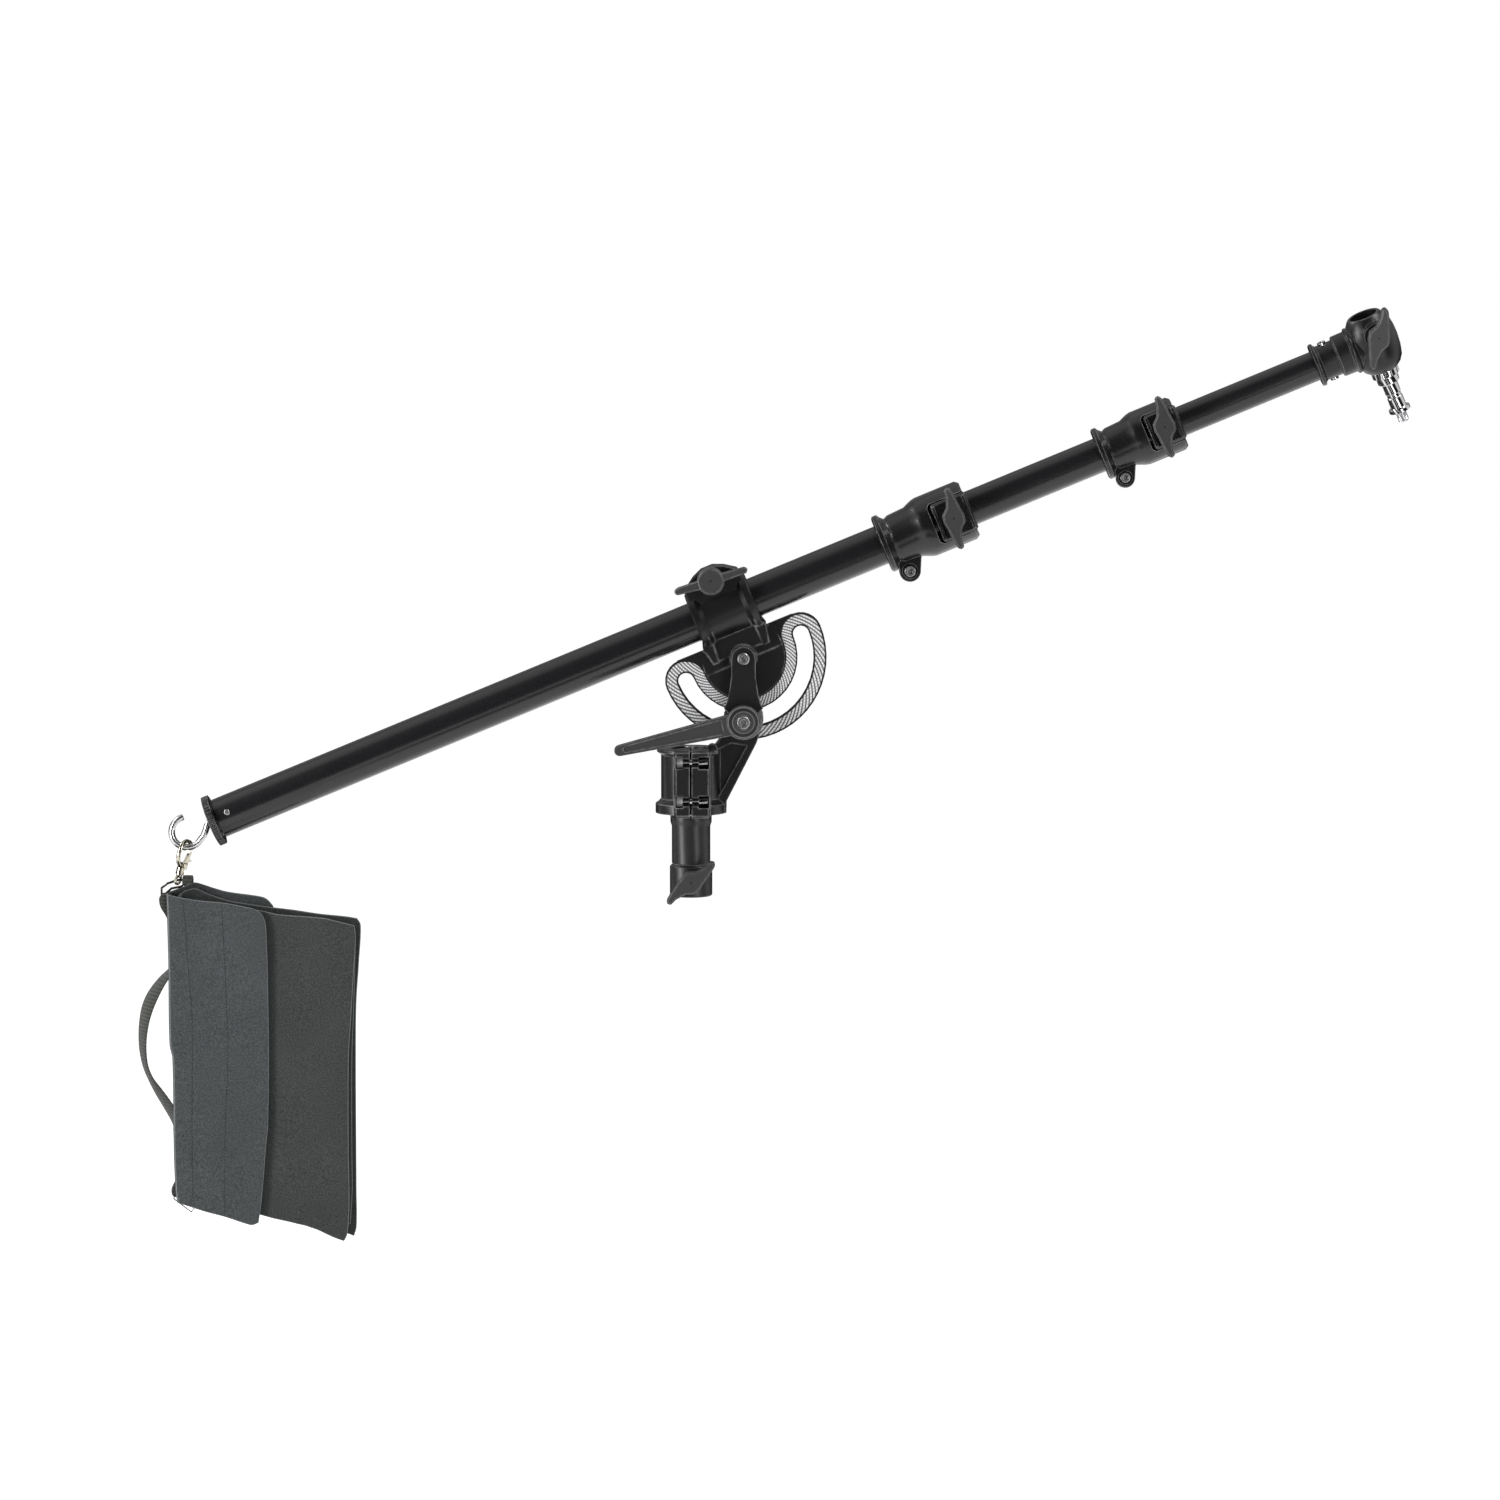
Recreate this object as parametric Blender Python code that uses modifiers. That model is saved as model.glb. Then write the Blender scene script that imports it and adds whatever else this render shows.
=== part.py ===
"""A telescopic boom arm for a lighting stand, with its counterweight bag.

Units are metres and +Z is up. The origin is the centre of the stand socket's mouth, where the arm
drops onto a stand. The boom runs along X, its tip towards +X, and the viewer looks along +Y, so
front faces point to -Y. The arm is stored as photographed, tipped up by BOOM_TILT.
"""

import math

import bmesh
import bpy
from mathutils import Vector

# Driving dimensions
BOOM_TILT = math.radians(22.5)
PIVOT = Vector((0.0525, 0, 0.240))
AXIS_RISE = 0.051
LEVER_DROP = 0.062
GAP = 0.0003
OUTER_TUBE, MIDDLE_TUBE, INNER_TUBE = 0.020, 0.0175, 0.015
TUBE_WALL = 0.0018
SOCKET_BORE = 0.0143

# Stations along the boom, counted from the foot of the pivot
CAP_END, TUBE_REAR = -0.557, -0.547
COLLAR_1_START, COLLAR_2_START = 0.170, 0.405
MIDDLE_REAR, INNER_REAR = -0.390, -0.238
TIP_COLLAR_START, HEAD_START, HEAD_CENTRE = 0.6365, 0.660, 0.699

# Heights above the socket's mouth
POST_TOP, BRACKET_FOOT, BRACKET_TOP = 0.082, 0.084, 0.1485
PINCH_HEIGHTS = {"upper": 0.138, "lower": 0.099}
WEB_TOP = 0.1555

# Layers of the tilt joint, counted from the middle plane towards the viewer
PLATE_HALF, BAND_HALF = 0.005, 0.0044
CHEEK_INNER, CHEEK_OUTER = 0.0054, 0.011
DISC_INNER, DISC_OUTER = 0.0113, 0.0143
LINK_INNER, LINK_OUTER = 0.0146, 0.020
HEAD_FACE = 0.0203
STUD_RADIUS, STUD_HOLE = 0.005, 0.0053
SLOT_CENTRE, SLOT_HALF = 0.062, 0.008
BAND_OUTER, BAND_INNER = 0.083, 0.042

# Turns that lay a piece's own Z along an axis of its frame
UPRIGHT = (0, 0, 0)
FRONT = (math.pi / 2, 0, 0)
ALONG = (math.pi / 2, 0, math.pi / 2)

FINISHES = {
    "gloss_black": ((0.012, 0.012, 0.013, 1), 0.22, 0.0),
    "satin_black": ((0.018, 0.018, 0.019, 1), 0.48, 0.0),
    "dark_grey": ((0.050, 0.050, 0.052, 1), 0.55, 0.0),
    "chrome": ((0.75, 0.75, 0.76, 1), 0.12, 1.0),
    "steel": ((0.45, 0.45, 0.46, 1), 0.32, 1.0),
    "brass": ((0.60, 0.44, 0.18, 1), 0.35, 1.0),
    "nylon": ((0.55, 0.54, 0.50, 1), 0.55, 0.0),
    "canvas": ((0.062, 0.070, 0.073, 1), 0.92, 0.0),
    "webbing": ((0.020, 0.021, 0.020, 1), 0.90, 0.0),
}


def clear_scene():
    for obj in list(bpy.data.objects):
        bpy.data.objects.remove(obj)


def make_collection(name):
    collection = bpy.data.collections.new(name)
    bpy.context.scene.collection.children.link(collection)
    return collection


def make_finish(name, colour, roughness, metallic):
    finish = bpy.data.materials.new(name)
    finish.use_nodes = True
    shader = finish.node_tree.nodes["Principled BSDF"]
    shader.inputs["Base Color"].default_value = colour
    shader.inputs["Roughness"].default_value = roughness
    shader.inputs["Metallic"].default_value = metallic
    finish.diffuse_color = colour
    return finish


clear_scene()
PARTS = make_collection("boom_arm")
CUTTERS = make_collection("cutters_and_fillers")
MATERIALS = {name: make_finish(name, *values) for name, values in FINISHES.items()}


def make_frame(name, at, turn=(0, 0, 0), home=None):
    """An empty that carries pieces: its origin lies on the axis that they share."""
    empty = bpy.data.objects.new(name, None)
    empty.parent = home
    empty.location = at
    empty.rotation_euler = turn
    empty.empty_display_size = 0.02
    PARTS.objects.link(empty)
    return empty


def put(mesh, name, home, paint, at=(0, 0, 0), turn=UPRIGHT):
    """Places a mesh under a frame. Without a paint it is a cutter or a filler, and stays out of view."""
    obj = bpy.data.objects.new(name, mesh)
    obj.parent = home
    obj.location = at
    obj.rotation_euler = turn
    if paint:
        mesh.materials.append(MATERIALS[paint])
        PARTS.objects.link(obj)
    else:
        CUTTERS.objects.link(obj)
        obj.hide_render = True
        obj.display_type = "WIRE"
    return obj


def rounded(obj, width, segments=1):
    bevel = obj.modifiers.new("edges", "BEVEL")
    bevel.width = width
    bevel.segments = segments
    bevel.limit_method = "ANGLE"
    bevel.angle_limit = math.radians(40)
    return obj


def box(name, home, low, high, paint=None, edge=0, at=(0, 0, 0), turn=UPRIGHT):
    """A block between two opposite corners."""
    low, high = Vector(low), Vector(high)
    shape = bmesh.new()
    bmesh.ops.create_cube(shape, size=1)
    bmesh.ops.scale(shape, vec=high - low, verts=shape.verts)
    bmesh.ops.translate(shape, vec=(low + high) / 2, verts=shape.verts)
    mesh = bpy.data.meshes.new(name)
    shape.to_mesh(mesh)
    shape.free()
    obj = put(mesh, name, home, paint, at, turn)
    return rounded(obj, edge) if edge else obj


def rod(name, home, start, end, radius, paint=None, sides=16, tip_radius=None):
    """A round bar, or a cone with a tip_radius, from one point to another."""
    start, end = Vector(start), Vector(end)
    run = end - start
    shape = bmesh.new()
    bmesh.ops.create_cone(
        shape,
        cap_ends=True,
        segments=sides,
        radius1=radius,
        radius2=radius if tip_radius is None else tip_radius,
        depth=run.length,
    )
    bmesh.ops.translate(shape, vec=(0, 0, run.length / 2), verts=shape.verts)
    mesh = bpy.data.meshes.new(name)
    shape.to_mesh(mesh)
    shape.free()
    smooth(mesh)
    return put(mesh, name, home, paint, start, run.to_track_quat("Z", "Y").to_euler())


def smooth(mesh, angle=35):
    mesh.shade_smooth()
    mesh.set_sharp_from_angle(angle=math.radians(angle))


def turned(name, home, profile, paint=None, at=(0, 0, 0), turn=UPRIGHT, steps=24, ring=False):
    """A shape on the lathe. The profile lists (radius, height) down the outer side, top first.

    A ring's profile closes on itself and keeps off the axis.
    """
    shape = bmesh.new()
    points = [shape.verts.new((radius, 0, height)) for radius, height in profile]
    for first, second in zip(points, points[1:]):
        shape.edges.new((first, second))
    if ring:
        shape.edges.new((points[-1], points[0]))
    mesh = bpy.data.meshes.new(name)
    shape.to_mesh(mesh)
    shape.free()
    obj = put(mesh, name, home, paint, at, turn)
    screw = obj.modifiers.new("lathe", "SCREW")
    screw.axis = "Z"
    screw.steps = screw.render_steps = steps
    screw.use_merge_vertices = True
    screw.merge_threshold = 0.00001
    screw.use_smooth_shade = True
    return obj


def mesh_of(curve_object):
    """Turns a curve object into a mesh object with its caps welded on, in the same place."""
    evaluated = curve_object.evaluated_get(bpy.context.evaluated_depsgraph_get())
    mesh = bpy.data.meshes.new_from_object(evaluated)
    shape = bmesh.new()
    shape.from_mesh(mesh)
    bmesh.ops.remove_doubles(shape, verts=shape.verts, dist=0.000002)
    bmesh.ops.recalc_face_normals(shape, faces=shape.faces)
    shape.to_mesh(mesh)
    shape.free()
    mesh.materials.clear()
    bpy.data.objects.remove(curve_object)
    return mesh


def spline_of(name, points, closed, dimensions="3D"):
    curve = bpy.data.curves.new(name, "CURVE")
    curve.dimensions = dimensions
    spline = curve.splines.new("POLY")
    spline.points.add(len(points) - 1)
    for point, place in zip(spline.points, points):
        point.co = (*place, 0, 1) if len(place) == 2 else (*place, 1)
    spline.use_cyclic_u = closed
    return curve


def slab(name, home, outline, top, bottom, paint=None, edge=0, turn=FRONT, holes=()):
    """A flat outline cut from plate, between two heights on its own Z.

    Laid to the FRONT it is drawn as the viewer sees it, and a height is a distance towards the viewer.
    """
    curve = spline_of(name, outline, closed=True, dimensions="2D")
    for hole in holes:
        spline = curve.splines.new("POLY")
        spline.points.add(len(hole) - 1)
        for point, place in zip(spline.points, hole):
            point.co = (*place, 0, 1)
        spline.use_cyclic_u = True
    curve.fill_mode = "BOTH"
    curve.extrude = (top - bottom) / 2
    flat = bpy.data.objects.new(name, curve)
    CUTTERS.objects.link(flat)
    bpy.context.view_layer.update()
    mesh = mesh_of(flat)
    mesh.name = name
    middle = (top + bottom) / 2
    at = {FRONT: (0, -middle, 0), ALONG: (middle, 0, 0), UPRIGHT: (0, 0, middle)}[turn]
    obj = put(mesh, name, home, paint, at, turn)
    smooth(mesh)
    return rounded(obj, edge) if edge else obj


def wire(name, home, points, radius, paint=None, closed=False, resolution=1):
    """Round wire along a list of points."""
    curve = spline_of(name, points, closed)
    curve.bevel_depth = radius
    curve.bevel_resolution = resolution
    curve.use_fill_caps = True
    bent = bpy.data.objects.new(name, curve)
    CUTTERS.objects.link(bent)
    bpy.context.view_layer.update()
    mesh = mesh_of(bent)
    mesh.name = name
    smooth(mesh, 50)
    return put(mesh, name, home, paint)


def strap(name, home, points, width, thickness, tilts, paint):
    """Flat webbing along a list of points. A tilt of zero lays its width across the view."""
    half_width, half_thickness = width / 2, thickness / 2
    corners = [
        (-half_width, -half_thickness),
        (half_width, -half_thickness),
        (half_width, half_thickness),
        (-half_width, half_thickness),
    ]
    section = bpy.data.objects.new("section", spline_of("section", corners, closed=True, dimensions="2D"))
    CUTTERS.objects.link(section)
    curve = spline_of(name, points, closed=False)
    curve.twist_mode = "Z_UP"
    for point, tilt in zip(curve.splines[0].points, tilts):
        point.tilt = math.radians(tilt)
    curve.bevel_mode = "OBJECT"
    curve.bevel_object = section
    curve.use_fill_caps = True
    band = bpy.data.objects.new(name, curve)
    CUTTERS.objects.link(band)
    bpy.context.view_layer.update()
    mesh = mesh_of(band)
    mesh.name = name
    bpy.data.objects.remove(section)
    smooth(mesh, 40)
    return put(mesh, name, home, paint)


def combine(obj, others, operation):
    for other in others:
        boolean = obj.modifiers.new(other.name, "BOOLEAN")
        boolean.operation = operation
        boolean.object = other


def cut(obj, *cutters):
    combine(obj, cutters, "DIFFERENCE")
    return obj


def fuse(obj, *fillers):
    combine(obj, fillers, "UNION")
    return obj


def arc(centre, radius, first, last, count):
    """Points along an arc, in degrees counted anticlockwise from the right."""
    angles = [math.radians(first + (last - first) * i / (count - 1)) for i in range(count)]
    return [(centre[0] + radius * math.cos(a), centre[1] + radius * math.sin(a)) for a in angles]


def circle(radius, count, centre=(0, 0)):
    return arc(centre, radius, 0, 360 - 360 / count, count)


def toothed(radius, depth, teeth):
    """A ribbed rim, with one point out and one in for each rib."""
    outline = []
    for i in range(2 * teeth):
        angle = math.pi * i / teeth
        reach = radius - depth * (i % 2)
        outline.append((reach * math.cos(angle), reach * math.sin(angle)))
    return outline


def hexagon(across_flats):
    return circle(across_flats / math.sqrt(3), 6)


# Frames
BOOM = make_frame(
    "boom_axis",
    PIVOT + AXIS_RISE * Vector((-math.sin(BOOM_TILT), 0, math.cos(BOOM_TILT))),
    (0, -BOOM_TILT, 0),
)
TILT = make_frame("tilt_axis", PIVOT, (0, -BOOM_TILT, 0))
STAND = make_frame("stand_axis", (0, 0, 0))
LINKS = make_frame("link_axis", PIVOT)
LEVER_SLOPE = math.radians(13)
LEVER = make_frame("lever_axis", PIVOT - Vector((0, 0, LEVER_DROP)), (0, -LEVER_SLOPE, 0))


def knob_outline():
    """The wing of a T knob, seen from the front: a slanted body between two fingers, the same upside down."""
    side = [(1.0, 29.0), (0.5, 22.5), (-3.5, 12.5), (-10.0, 6.5), (-11.0, -0.5)]
    side += [(-10.0, -7.5), (-9.0, -19.5), (-8.0, -27.0), (-6.5, -30.5), (-3.0, -31.5)]
    side = [(x / 1000, z / 1000) for x, z in side]
    return side + [(-x, -z) for x, z in side]


KNOB_WING = 0.009
KNOB_HUB = 0.0085
KNOB_SCREW = 0.004


def t_knob(name, home, at, face, reach, lean=0):
    """A moulded T knob on its steel screw. Its hub starts at face, and the screw reaches back to reach."""
    axis = make_frame(name + "_axis", (at[0], 0, at[1]), (0, math.radians(lean), 0), home)
    wing_back = face + 0.0045
    wing = slab(name, axis, knob_outline(), wing_back + KNOB_WING, wing_back, "dark_grey", 0.0016)
    hub = rod(name + "_hub", axis, (0, -face, 0), (0, -wing_back - 0.004, 0), KNOB_HUB)
    screw = rod(name + "_screw", axis, (0, -reach, 0), (0, -face - 0.002, 0), KNOB_SCREW, sides=12)
    return fuse(wing, hub, screw)


def socket_screw(name, home, at, face, reach, head, shank, paint="chrome"):
    """A cap screw whose head rests on face, seen from the front, with a hexagon in its head."""
    height = head * 0.9
    axis = make_frame(name + "_axis", (at[0], 0, at[1]), (0, 0, 0), home)
    profile = [(0, face + height), (head * 0.86, face + height), (head, face + height * 0.8)]
    profile += [(head, face), (shank, face), (shank, reach), (0, reach)]
    obj = turned(name, axis, profile, paint, turn=FRONT, steps=12)
    key = slab(name + "_key", axis, hexagon(head * 0.95), face + height + 0.002, face + height * 0.35)
    return cut(obj, key)


# Stand socket
POST_RADIUS, SPINDLE_RADIUS = 0.0193, 0.016
SOCKET_DEPTH = 0.075
KNOB_HEIGHT = 0.0165


def stand_socket():
    profile = [
        (0, 0.144), (SPINDLE_RADIUS, 0.144), (SPINDLE_RADIUS, POST_TOP), (0.0202, POST_TOP),
        (0.0207, 0.0812), (0.0207, 0.0745), (POST_RADIUS, 0.0705), (POST_RADIUS, 0.0335),
        (0.0186, 0.0325), (0.0213, 0.0300), (0.0213, 0.0012), (0.0203, 0), (SOCKET_BORE, 0),
        (SOCKET_BORE, SOCKET_DEPTH), (0, SOCKET_DEPTH + 0.004),
    ]
    post = turned("stand_socket", STAND, profile, "dark_grey")
    screw_hole = rod("knob_hole", STAND, (0, -0.030, KNOB_HEIGHT), (0, -0.006, KNOB_HEIGHT), 0.0044, sides=12)
    top_hole = rod("top_hole", STAND, (0, 0, 0.126), (0, 0, 0.150), 0.0043, sides=12)
    cut(post, screw_hole, top_hole)
    rod("socket_pad", STAND, (0, -0.0147, KNOB_HEIGHT), (0, -0.0167, KNOB_HEIGHT), 0.0039, "brass", 12)
    t_knob("socket_knob", STAND, (0, KNOB_HEIGHT), 0.0216, 0.0170, 40)
    collar = [(0.0165 + GAP, 0.0837), (0.0202, 0.0837), (0.0202, 0.0823), (0.0165 + GAP, 0.0823)]
    turned("thrust_washer", STAND, collar, "nylon", steps=20, ring=True)
    head = [(0, 0.1508), (0.0055, 0.1508), (0.0062, 0.1500), (0.0062, 0.1466), (0.0193, 0.1466)]
    head += [(0.0193, 0.1448), (0.0039, 0.1448), (0.0039, 0.128), (0, 0.128)]
    turned("spindle_screw", STAND, head, "steel", steps=16)


# Base bracket
BARREL_RADIUS, BARREL_BORE = 0.030, SPINDLE_RADIUS + 0.0004
JAW_FRONT = 0.046
BOLT_FRONT = 0.037


def web_outline():
    """The bracket's web, from the barrel to the disc round the lever bolt."""
    disc = (PIVOT.x, PIVOT.z - LEVER_DROP)
    outline = [(0.0225, 0.0845), (0.0355, 0.0845), (0.0358, 0.0965), (0.0655, 0.1545)]
    outline += arc(disc, 0.020, -25, 205, 13)
    return outline + [(0.0300, 0.1600), (0.0225, 0.1500)]


def base_bracket():
    profile = [
        (0.0332, BRACKET_TOP), (0.034, 0.1477), (0.034, 0.1452), (BARREL_RADIUS, 0.1425),
        (BARREL_RADIUS, 0.0985), (0.0325, 0.0955), (0.0355, 0.0935), (0.0355, BRACKET_FOOT),
        (BARREL_BORE, BRACKET_FOOT), (BARREL_BORE, 0.1445), (0.0205, 0.1446), (0.0205, BRACKET_TOP),
    ]
    bracket = turned("base_bracket", STAND, profile, "satin_black", steps=28, ring=True)
    jaws = box("jaws", STAND, (-0.017, -JAW_FRONT, 0.0825), (0.020, -0.0225, 0.1505), edge=0.0025)
    web = slab("web", STAND, web_outline(), CHEEK_OUTER, -CHEEK_OUTER)
    lug = rod("lug", STAND, (0.0215, -0.0230, 0.1500), (0.0215, -0.0150, 0.1500), 0.0052, sides=12)
    fuse(bracket, web, jaws, lug)
    slit = box("slit", STAND, (-0.0010, -0.060, 0.070), (0.0010, -0.010, 0.160))
    slot = box("quadrant_slot", STAND, (0.005, -CHEEK_INNER, WEB_TOP), (0.095, CHEEK_INNER, 0.21))
    stud = rod("stud_hole", STAND, (PIVOT.x, -0.03, PIVOT.z - LEVER_DROP),
               (PIVOT.x, 0.03, PIVOT.z - LEVER_DROP), STUD_HOLE, sides=12)
    pocket = [(0.0100, 0.0985), (0.0262, 0.0985), (0.0560, 0.1520), (0.0400, 0.1545), (0.0100, 0.1400)]
    front = slab("front_pocket", STAND, pocket, 0.020, 0.0065)
    rear = slab("rear_pocket", STAND, pocket, -0.0065, -0.020)
    barrel = turned("barrel_keep", STAND, [(0, 0.16), (0.0298, 0.16), (0.0298, 0.08), (0, 0.08)])
    cut(front, barrel)
    cut(rear, barrel)
    cut(bracket, slit, slot, stud, front, rear)
    for which, height in PINCH_HEIGHTS.items():
        cut(bracket, *pinch_room(which, height))
        pinch_bolt(which, height)


def pinch_room(which, height):
    """The open channel in the jaws that holds one pinch bolt and its nut."""
    nut = box(which + "_nut_room", STAND, (-0.0152, -0.060, height - 0.0058), (-0.0078, -0.0305, height + 0.0058))
    head = box(which + "_head_room", STAND, (0.0078, -0.060, height - 0.0060), (0.0183, -0.0305, height + 0.0060))
    shaft = box(which + "_shaft_room", STAND, (-0.0090, -0.060, height - 0.0042), (0.0090, -0.0335, height + 0.0042))
    return nut, head, shaft


def pinch_bolt(which, height):
    axis = make_frame("pinch_bolt_" + which + "_axis", (0, -BOLT_FRONT, height))
    profile = [(0, 0.0178), (0.0043, 0.0178), (0.0050, 0.0170), (0.0050, 0.0081), (0.0030, 0.0081)]
    profile += [(0.0030, -0.0145), (0, -0.0145)]
    turned("pinch_bolt_" + which, axis, profile, "chrome", turn=ALONG, steps=12)
    slab("pinch_nut_" + which, axis, hexagon(0.0100), -0.0081, -0.0140, "steel", turn=ALONG,
         holes=[circle(0.0033, 8)])


# Tilt joint
def link_outline():
    """A link plate, from the pivot at the top to the lever bolt: round, then flaring to two shoulders."""
    flare = [(0.0122, -0.0180), (0.0148, -0.0360), (0.0175, -0.0455), (0.0195, -0.0500), (0.0165, -0.0530)]
    left = [(-x, z) for x, z in reversed(flare)]
    return arc((0, 0), 0.0120, 180, 0, 9) + flare + arc((0, -LEVER_DROP), 0.0155, 25, -205, 9) + left


def tilt_joint():
    drop = (0, -LEVER_DROP)
    holes = [circle(STUD_HOLE, 12), circle(STUD_HOLE, 12, drop)]
    slab("link_plate_front", LINKS, link_outline(), LINK_OUTER, LINK_INNER, "satin_black", holes=holes)
    slab("link_plate_rear", LINKS, link_outline(), -LINK_INNER, -LINK_OUTER, "satin_black", holes=holes)
    bolt_frame = make_frame("lever_bolt_axis", (0, 0, -LEVER_DROP), (0, 0, 0), LINKS)
    disc = [(0.020, DISC_OUTER), (0.020, DISC_INNER), (STUD_HOLE, DISC_INNER), (STUD_HOLE, DISC_OUTER)]
    turned("friction_disc_front", bolt_frame, disc, "steel", turn=FRONT, ring=True)
    rear = [(radius, height - DISC_INNER - DISC_OUTER) for radius, height in disc]
    turned("friction_disc_rear", bolt_frame, rear, "steel", turn=FRONT, ring=True)
    bush = 0.0051
    ring = [(0.0076, bush), (0.0076, -bush), (STUD_HOLE, -bush), (STUD_HOLE, bush)]
    turned("slot_bush", bolt_frame, ring, "nylon", turn=FRONT, steps=16, ring=True)
    head = [(0, HEAD_FACE + 0.0042), (0.0052, HEAD_FACE + 0.0042), (0.0062, HEAD_FACE + 0.0032)]
    head += [(0.0062, HEAD_FACE), (STUD_RADIUS, HEAD_FACE), (STUD_RADIUS, -0.0275), (0, -0.0275)]
    bolt = turned("pivot_bolt", LINKS, head, "chrome", turn=FRONT, steps=16)
    cut(bolt, slab("pivot_key", LINKS, hexagon(0.0055), 0.030, HEAD_FACE + 0.0016))
    slab("pivot_nut", LINKS, hexagon(0.0160), -HEAD_FACE, -0.0270, "steel",
         holes=[circle(STUD_RADIUS + GAP, 12)])
    stud = slab("lever_stud", bolt_frame, hexagon(0.0160), -HEAD_FACE, -0.0262, "steel")
    shank = rod("stud_shank", bolt_frame, (0, 0.024, 0), (0, -0.0226, 0), STUD_RADIUS)
    bore = rod("stud_bore", bolt_frame, (0, -0.030, 0), (0, -0.0130, 0), 0.0036, sides=12)
    cut(fuse(stud, shank), bore)


# Clamp casting: split ring, saddle and quadrant in one piece
RING_BORE = OUTER_TUBE + 0.0026


def quadrant_outline():
    """The slotted half moon below the pivot, with a horn at each end."""
    outline = arc((SLOT_CENTRE, 0), 0.021, 90, 0, 7) + arc((0, 0), BAND_OUTER, 0, -180, 27)[1:-1]
    return outline + arc((-SLOT_CENTRE, 0), 0.021, 180, 90, 7)


def slot_outline():
    right = arc((SLOT_CENTRE, 0), SLOT_HALF, 180, 0, 9)
    left = arc((-SLOT_CENTRE, 0), SLOT_HALF, 180, 0, 9)
    outer = arc((0, 0), SLOT_CENTRE + SLOT_HALF, 0, -180, 23)[1:-1]
    inner = arc((0, 0), SLOT_CENTRE - SLOT_HALF, -180, 0, 19)[1:-1]
    return right + outer + left + inner


def tilt_clamp():
    ring = [
        (0, 0.0320), (0.0286, 0.0320), (0.0300, 0.0308), (0.0300, 0.0250), (0.0262, 0.0205),
        (0.0262, -0.0190), (0.0300, -0.0238), (0.0300, -0.0298), (0.0286, -0.0310), (0, -0.0310),
    ]
    casting = turned("tilt_clamp", BOOM, ring, "satin_black", turn=ALONG, steps=28)
    band = slab("band", TILT, quadrant_outline(), BAND_HALF, -BAND_HALF)
    rise = 0.0215
    centre = [(-0.0630, rise), *arc((0, 0), BAND_INNER, -180, 0, 17), (0.0610, rise)]
    centre[1:1] = [(-0.0490, 0.0150), (-0.0435, 0.0070)]
    centre[-1:-1] = [(0.0435, 0.0070), (0.0490, 0.0150)]
    plate = slab("plate", TILT, centre, PLATE_HALF, -PLATE_HALF)
    step = [(-0.0415, rise - 0.0005), (-0.0415, -0.0030), (0.0415, -0.0030), (0.0415, rise - 0.0005)]
    ledge = slab("ledge", TILT, step, 0.0066, -0.0066)
    saddle = box("saddle", TILT, (-0.0270, -0.0092, 0.0060), (0.0270, 0.0092, 0.0270))
    rib = [(-0.0340, 0.0240), (-0.0300, 0.0050), (-0.0240, 0.0050), (-0.0225, 0.0240), (-0.0225, 0.0330),
           (-0.0310, 0.0330)]
    left = slab("left_rib", TILT, rib, 0.0130, -0.0130)
    right = slab("right_rib", TILT, [(-x, z) for x, z in reversed(rib)], 0.0130, -0.0130)
    boss = rod("boss", TILT, (0, -DISC_OUTER, 0), (0, DISC_OUTER, 0), 0.0135, sides=20)
    arch = [(0.0280, 0.0150), (0.0280, 0.0335), (0.0165, 0.0415), (0.0060, 0.0458), (-0.0060, 0.0458),
            (-0.0165, 0.0415), (-0.0280, 0.0335), (-0.0280, 0.0150)]
    lugs = slab("pinch_lugs", BOOM, arch, 0.0200, -0.0200)
    fuse(casting, band, plate, ledge, saddle, left, right, boss, lugs)
    bore = rod("ring_bore", BOOM, (-0.050, 0, 0), (0.050, 0, 0), RING_BORE, sides=28)
    split = box("ring_split", BOOM, (-0.040, -0.0016, 0.010), (0.040, 0.0016, 0.060))
    slot = slab("curved_slot", TILT, slot_outline(), 0.020, -0.020)
    pivot = rod("pivot_hole", TILT, (0, -0.030, 0), (0, 0.030, 0), STUD_HOLE, sides=12)
    pinch = rod("pinch_hole", BOOM, (0, -0.040, 0.034), (0, 0.040, 0.034), 0.0045, sides=12)
    cut(casting, bore, split, slot, pivot, pinch)
    liner = [(RING_BORE - GAP, 0.0312), (RING_BORE - GAP, -0.0302), (OUTER_TUBE + GAP, -0.0302)]
    liner.append((OUTER_TUBE + GAP, 0.0312))
    sleeve = turned("clamp_liner", BOOM, liner, "nylon", turn=ALONG, ring=True)
    cut(sleeve, box("liner_split", BOOM, (-0.040, -0.0012, 0.010), (0.040, 0.0012, 0.030)))


def clamp_knob():
    """The pinch knob on the ring: a round hub with two straight wings, set beyond the ring's flanges."""
    axis = make_frame("clamp_knob_axis", (0, 0, 0.034), (0, math.radians(4), 0), BOOM)
    profile = [(0, 0.0395), (0.0120, 0.0395), (0.0137, 0.0380), (0.0137, 0.0235), (0.0110, HEAD_FACE)]
    profile += [(0.0040, HEAD_FACE), (0.0040, -0.0262), (0, -0.0262)]
    knob = turned("clamp_knob", axis, profile, "dark_grey", turn=FRONT, steps=20)
    wing = [(0.0360, -0.0032), (0.0385, -0.0010), (0.0385, 0.0012), (0.0360, 0.0034), (0.0100, 0.0048)]
    wing += [(-0.0330, 0.0046), (-0.0372, 0.0030), (-0.0378, 0.0002), (-0.0360, -0.0026), (-0.0100, -0.0048)]
    fuse(knob, slab("clamp_wings", axis, wing, 0.0390, 0.0322, edge=0.0012))
    slab("clamp_nut", axis, hexagon(0.0130), -HEAD_FACE, -0.0258, "steel", holes=[circle(0.0043, 12)])


# Lever
ARM_LENGTH, ARM_ROOT, ARM_TIP = 0.132, 0.0108, 0.0054


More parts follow.
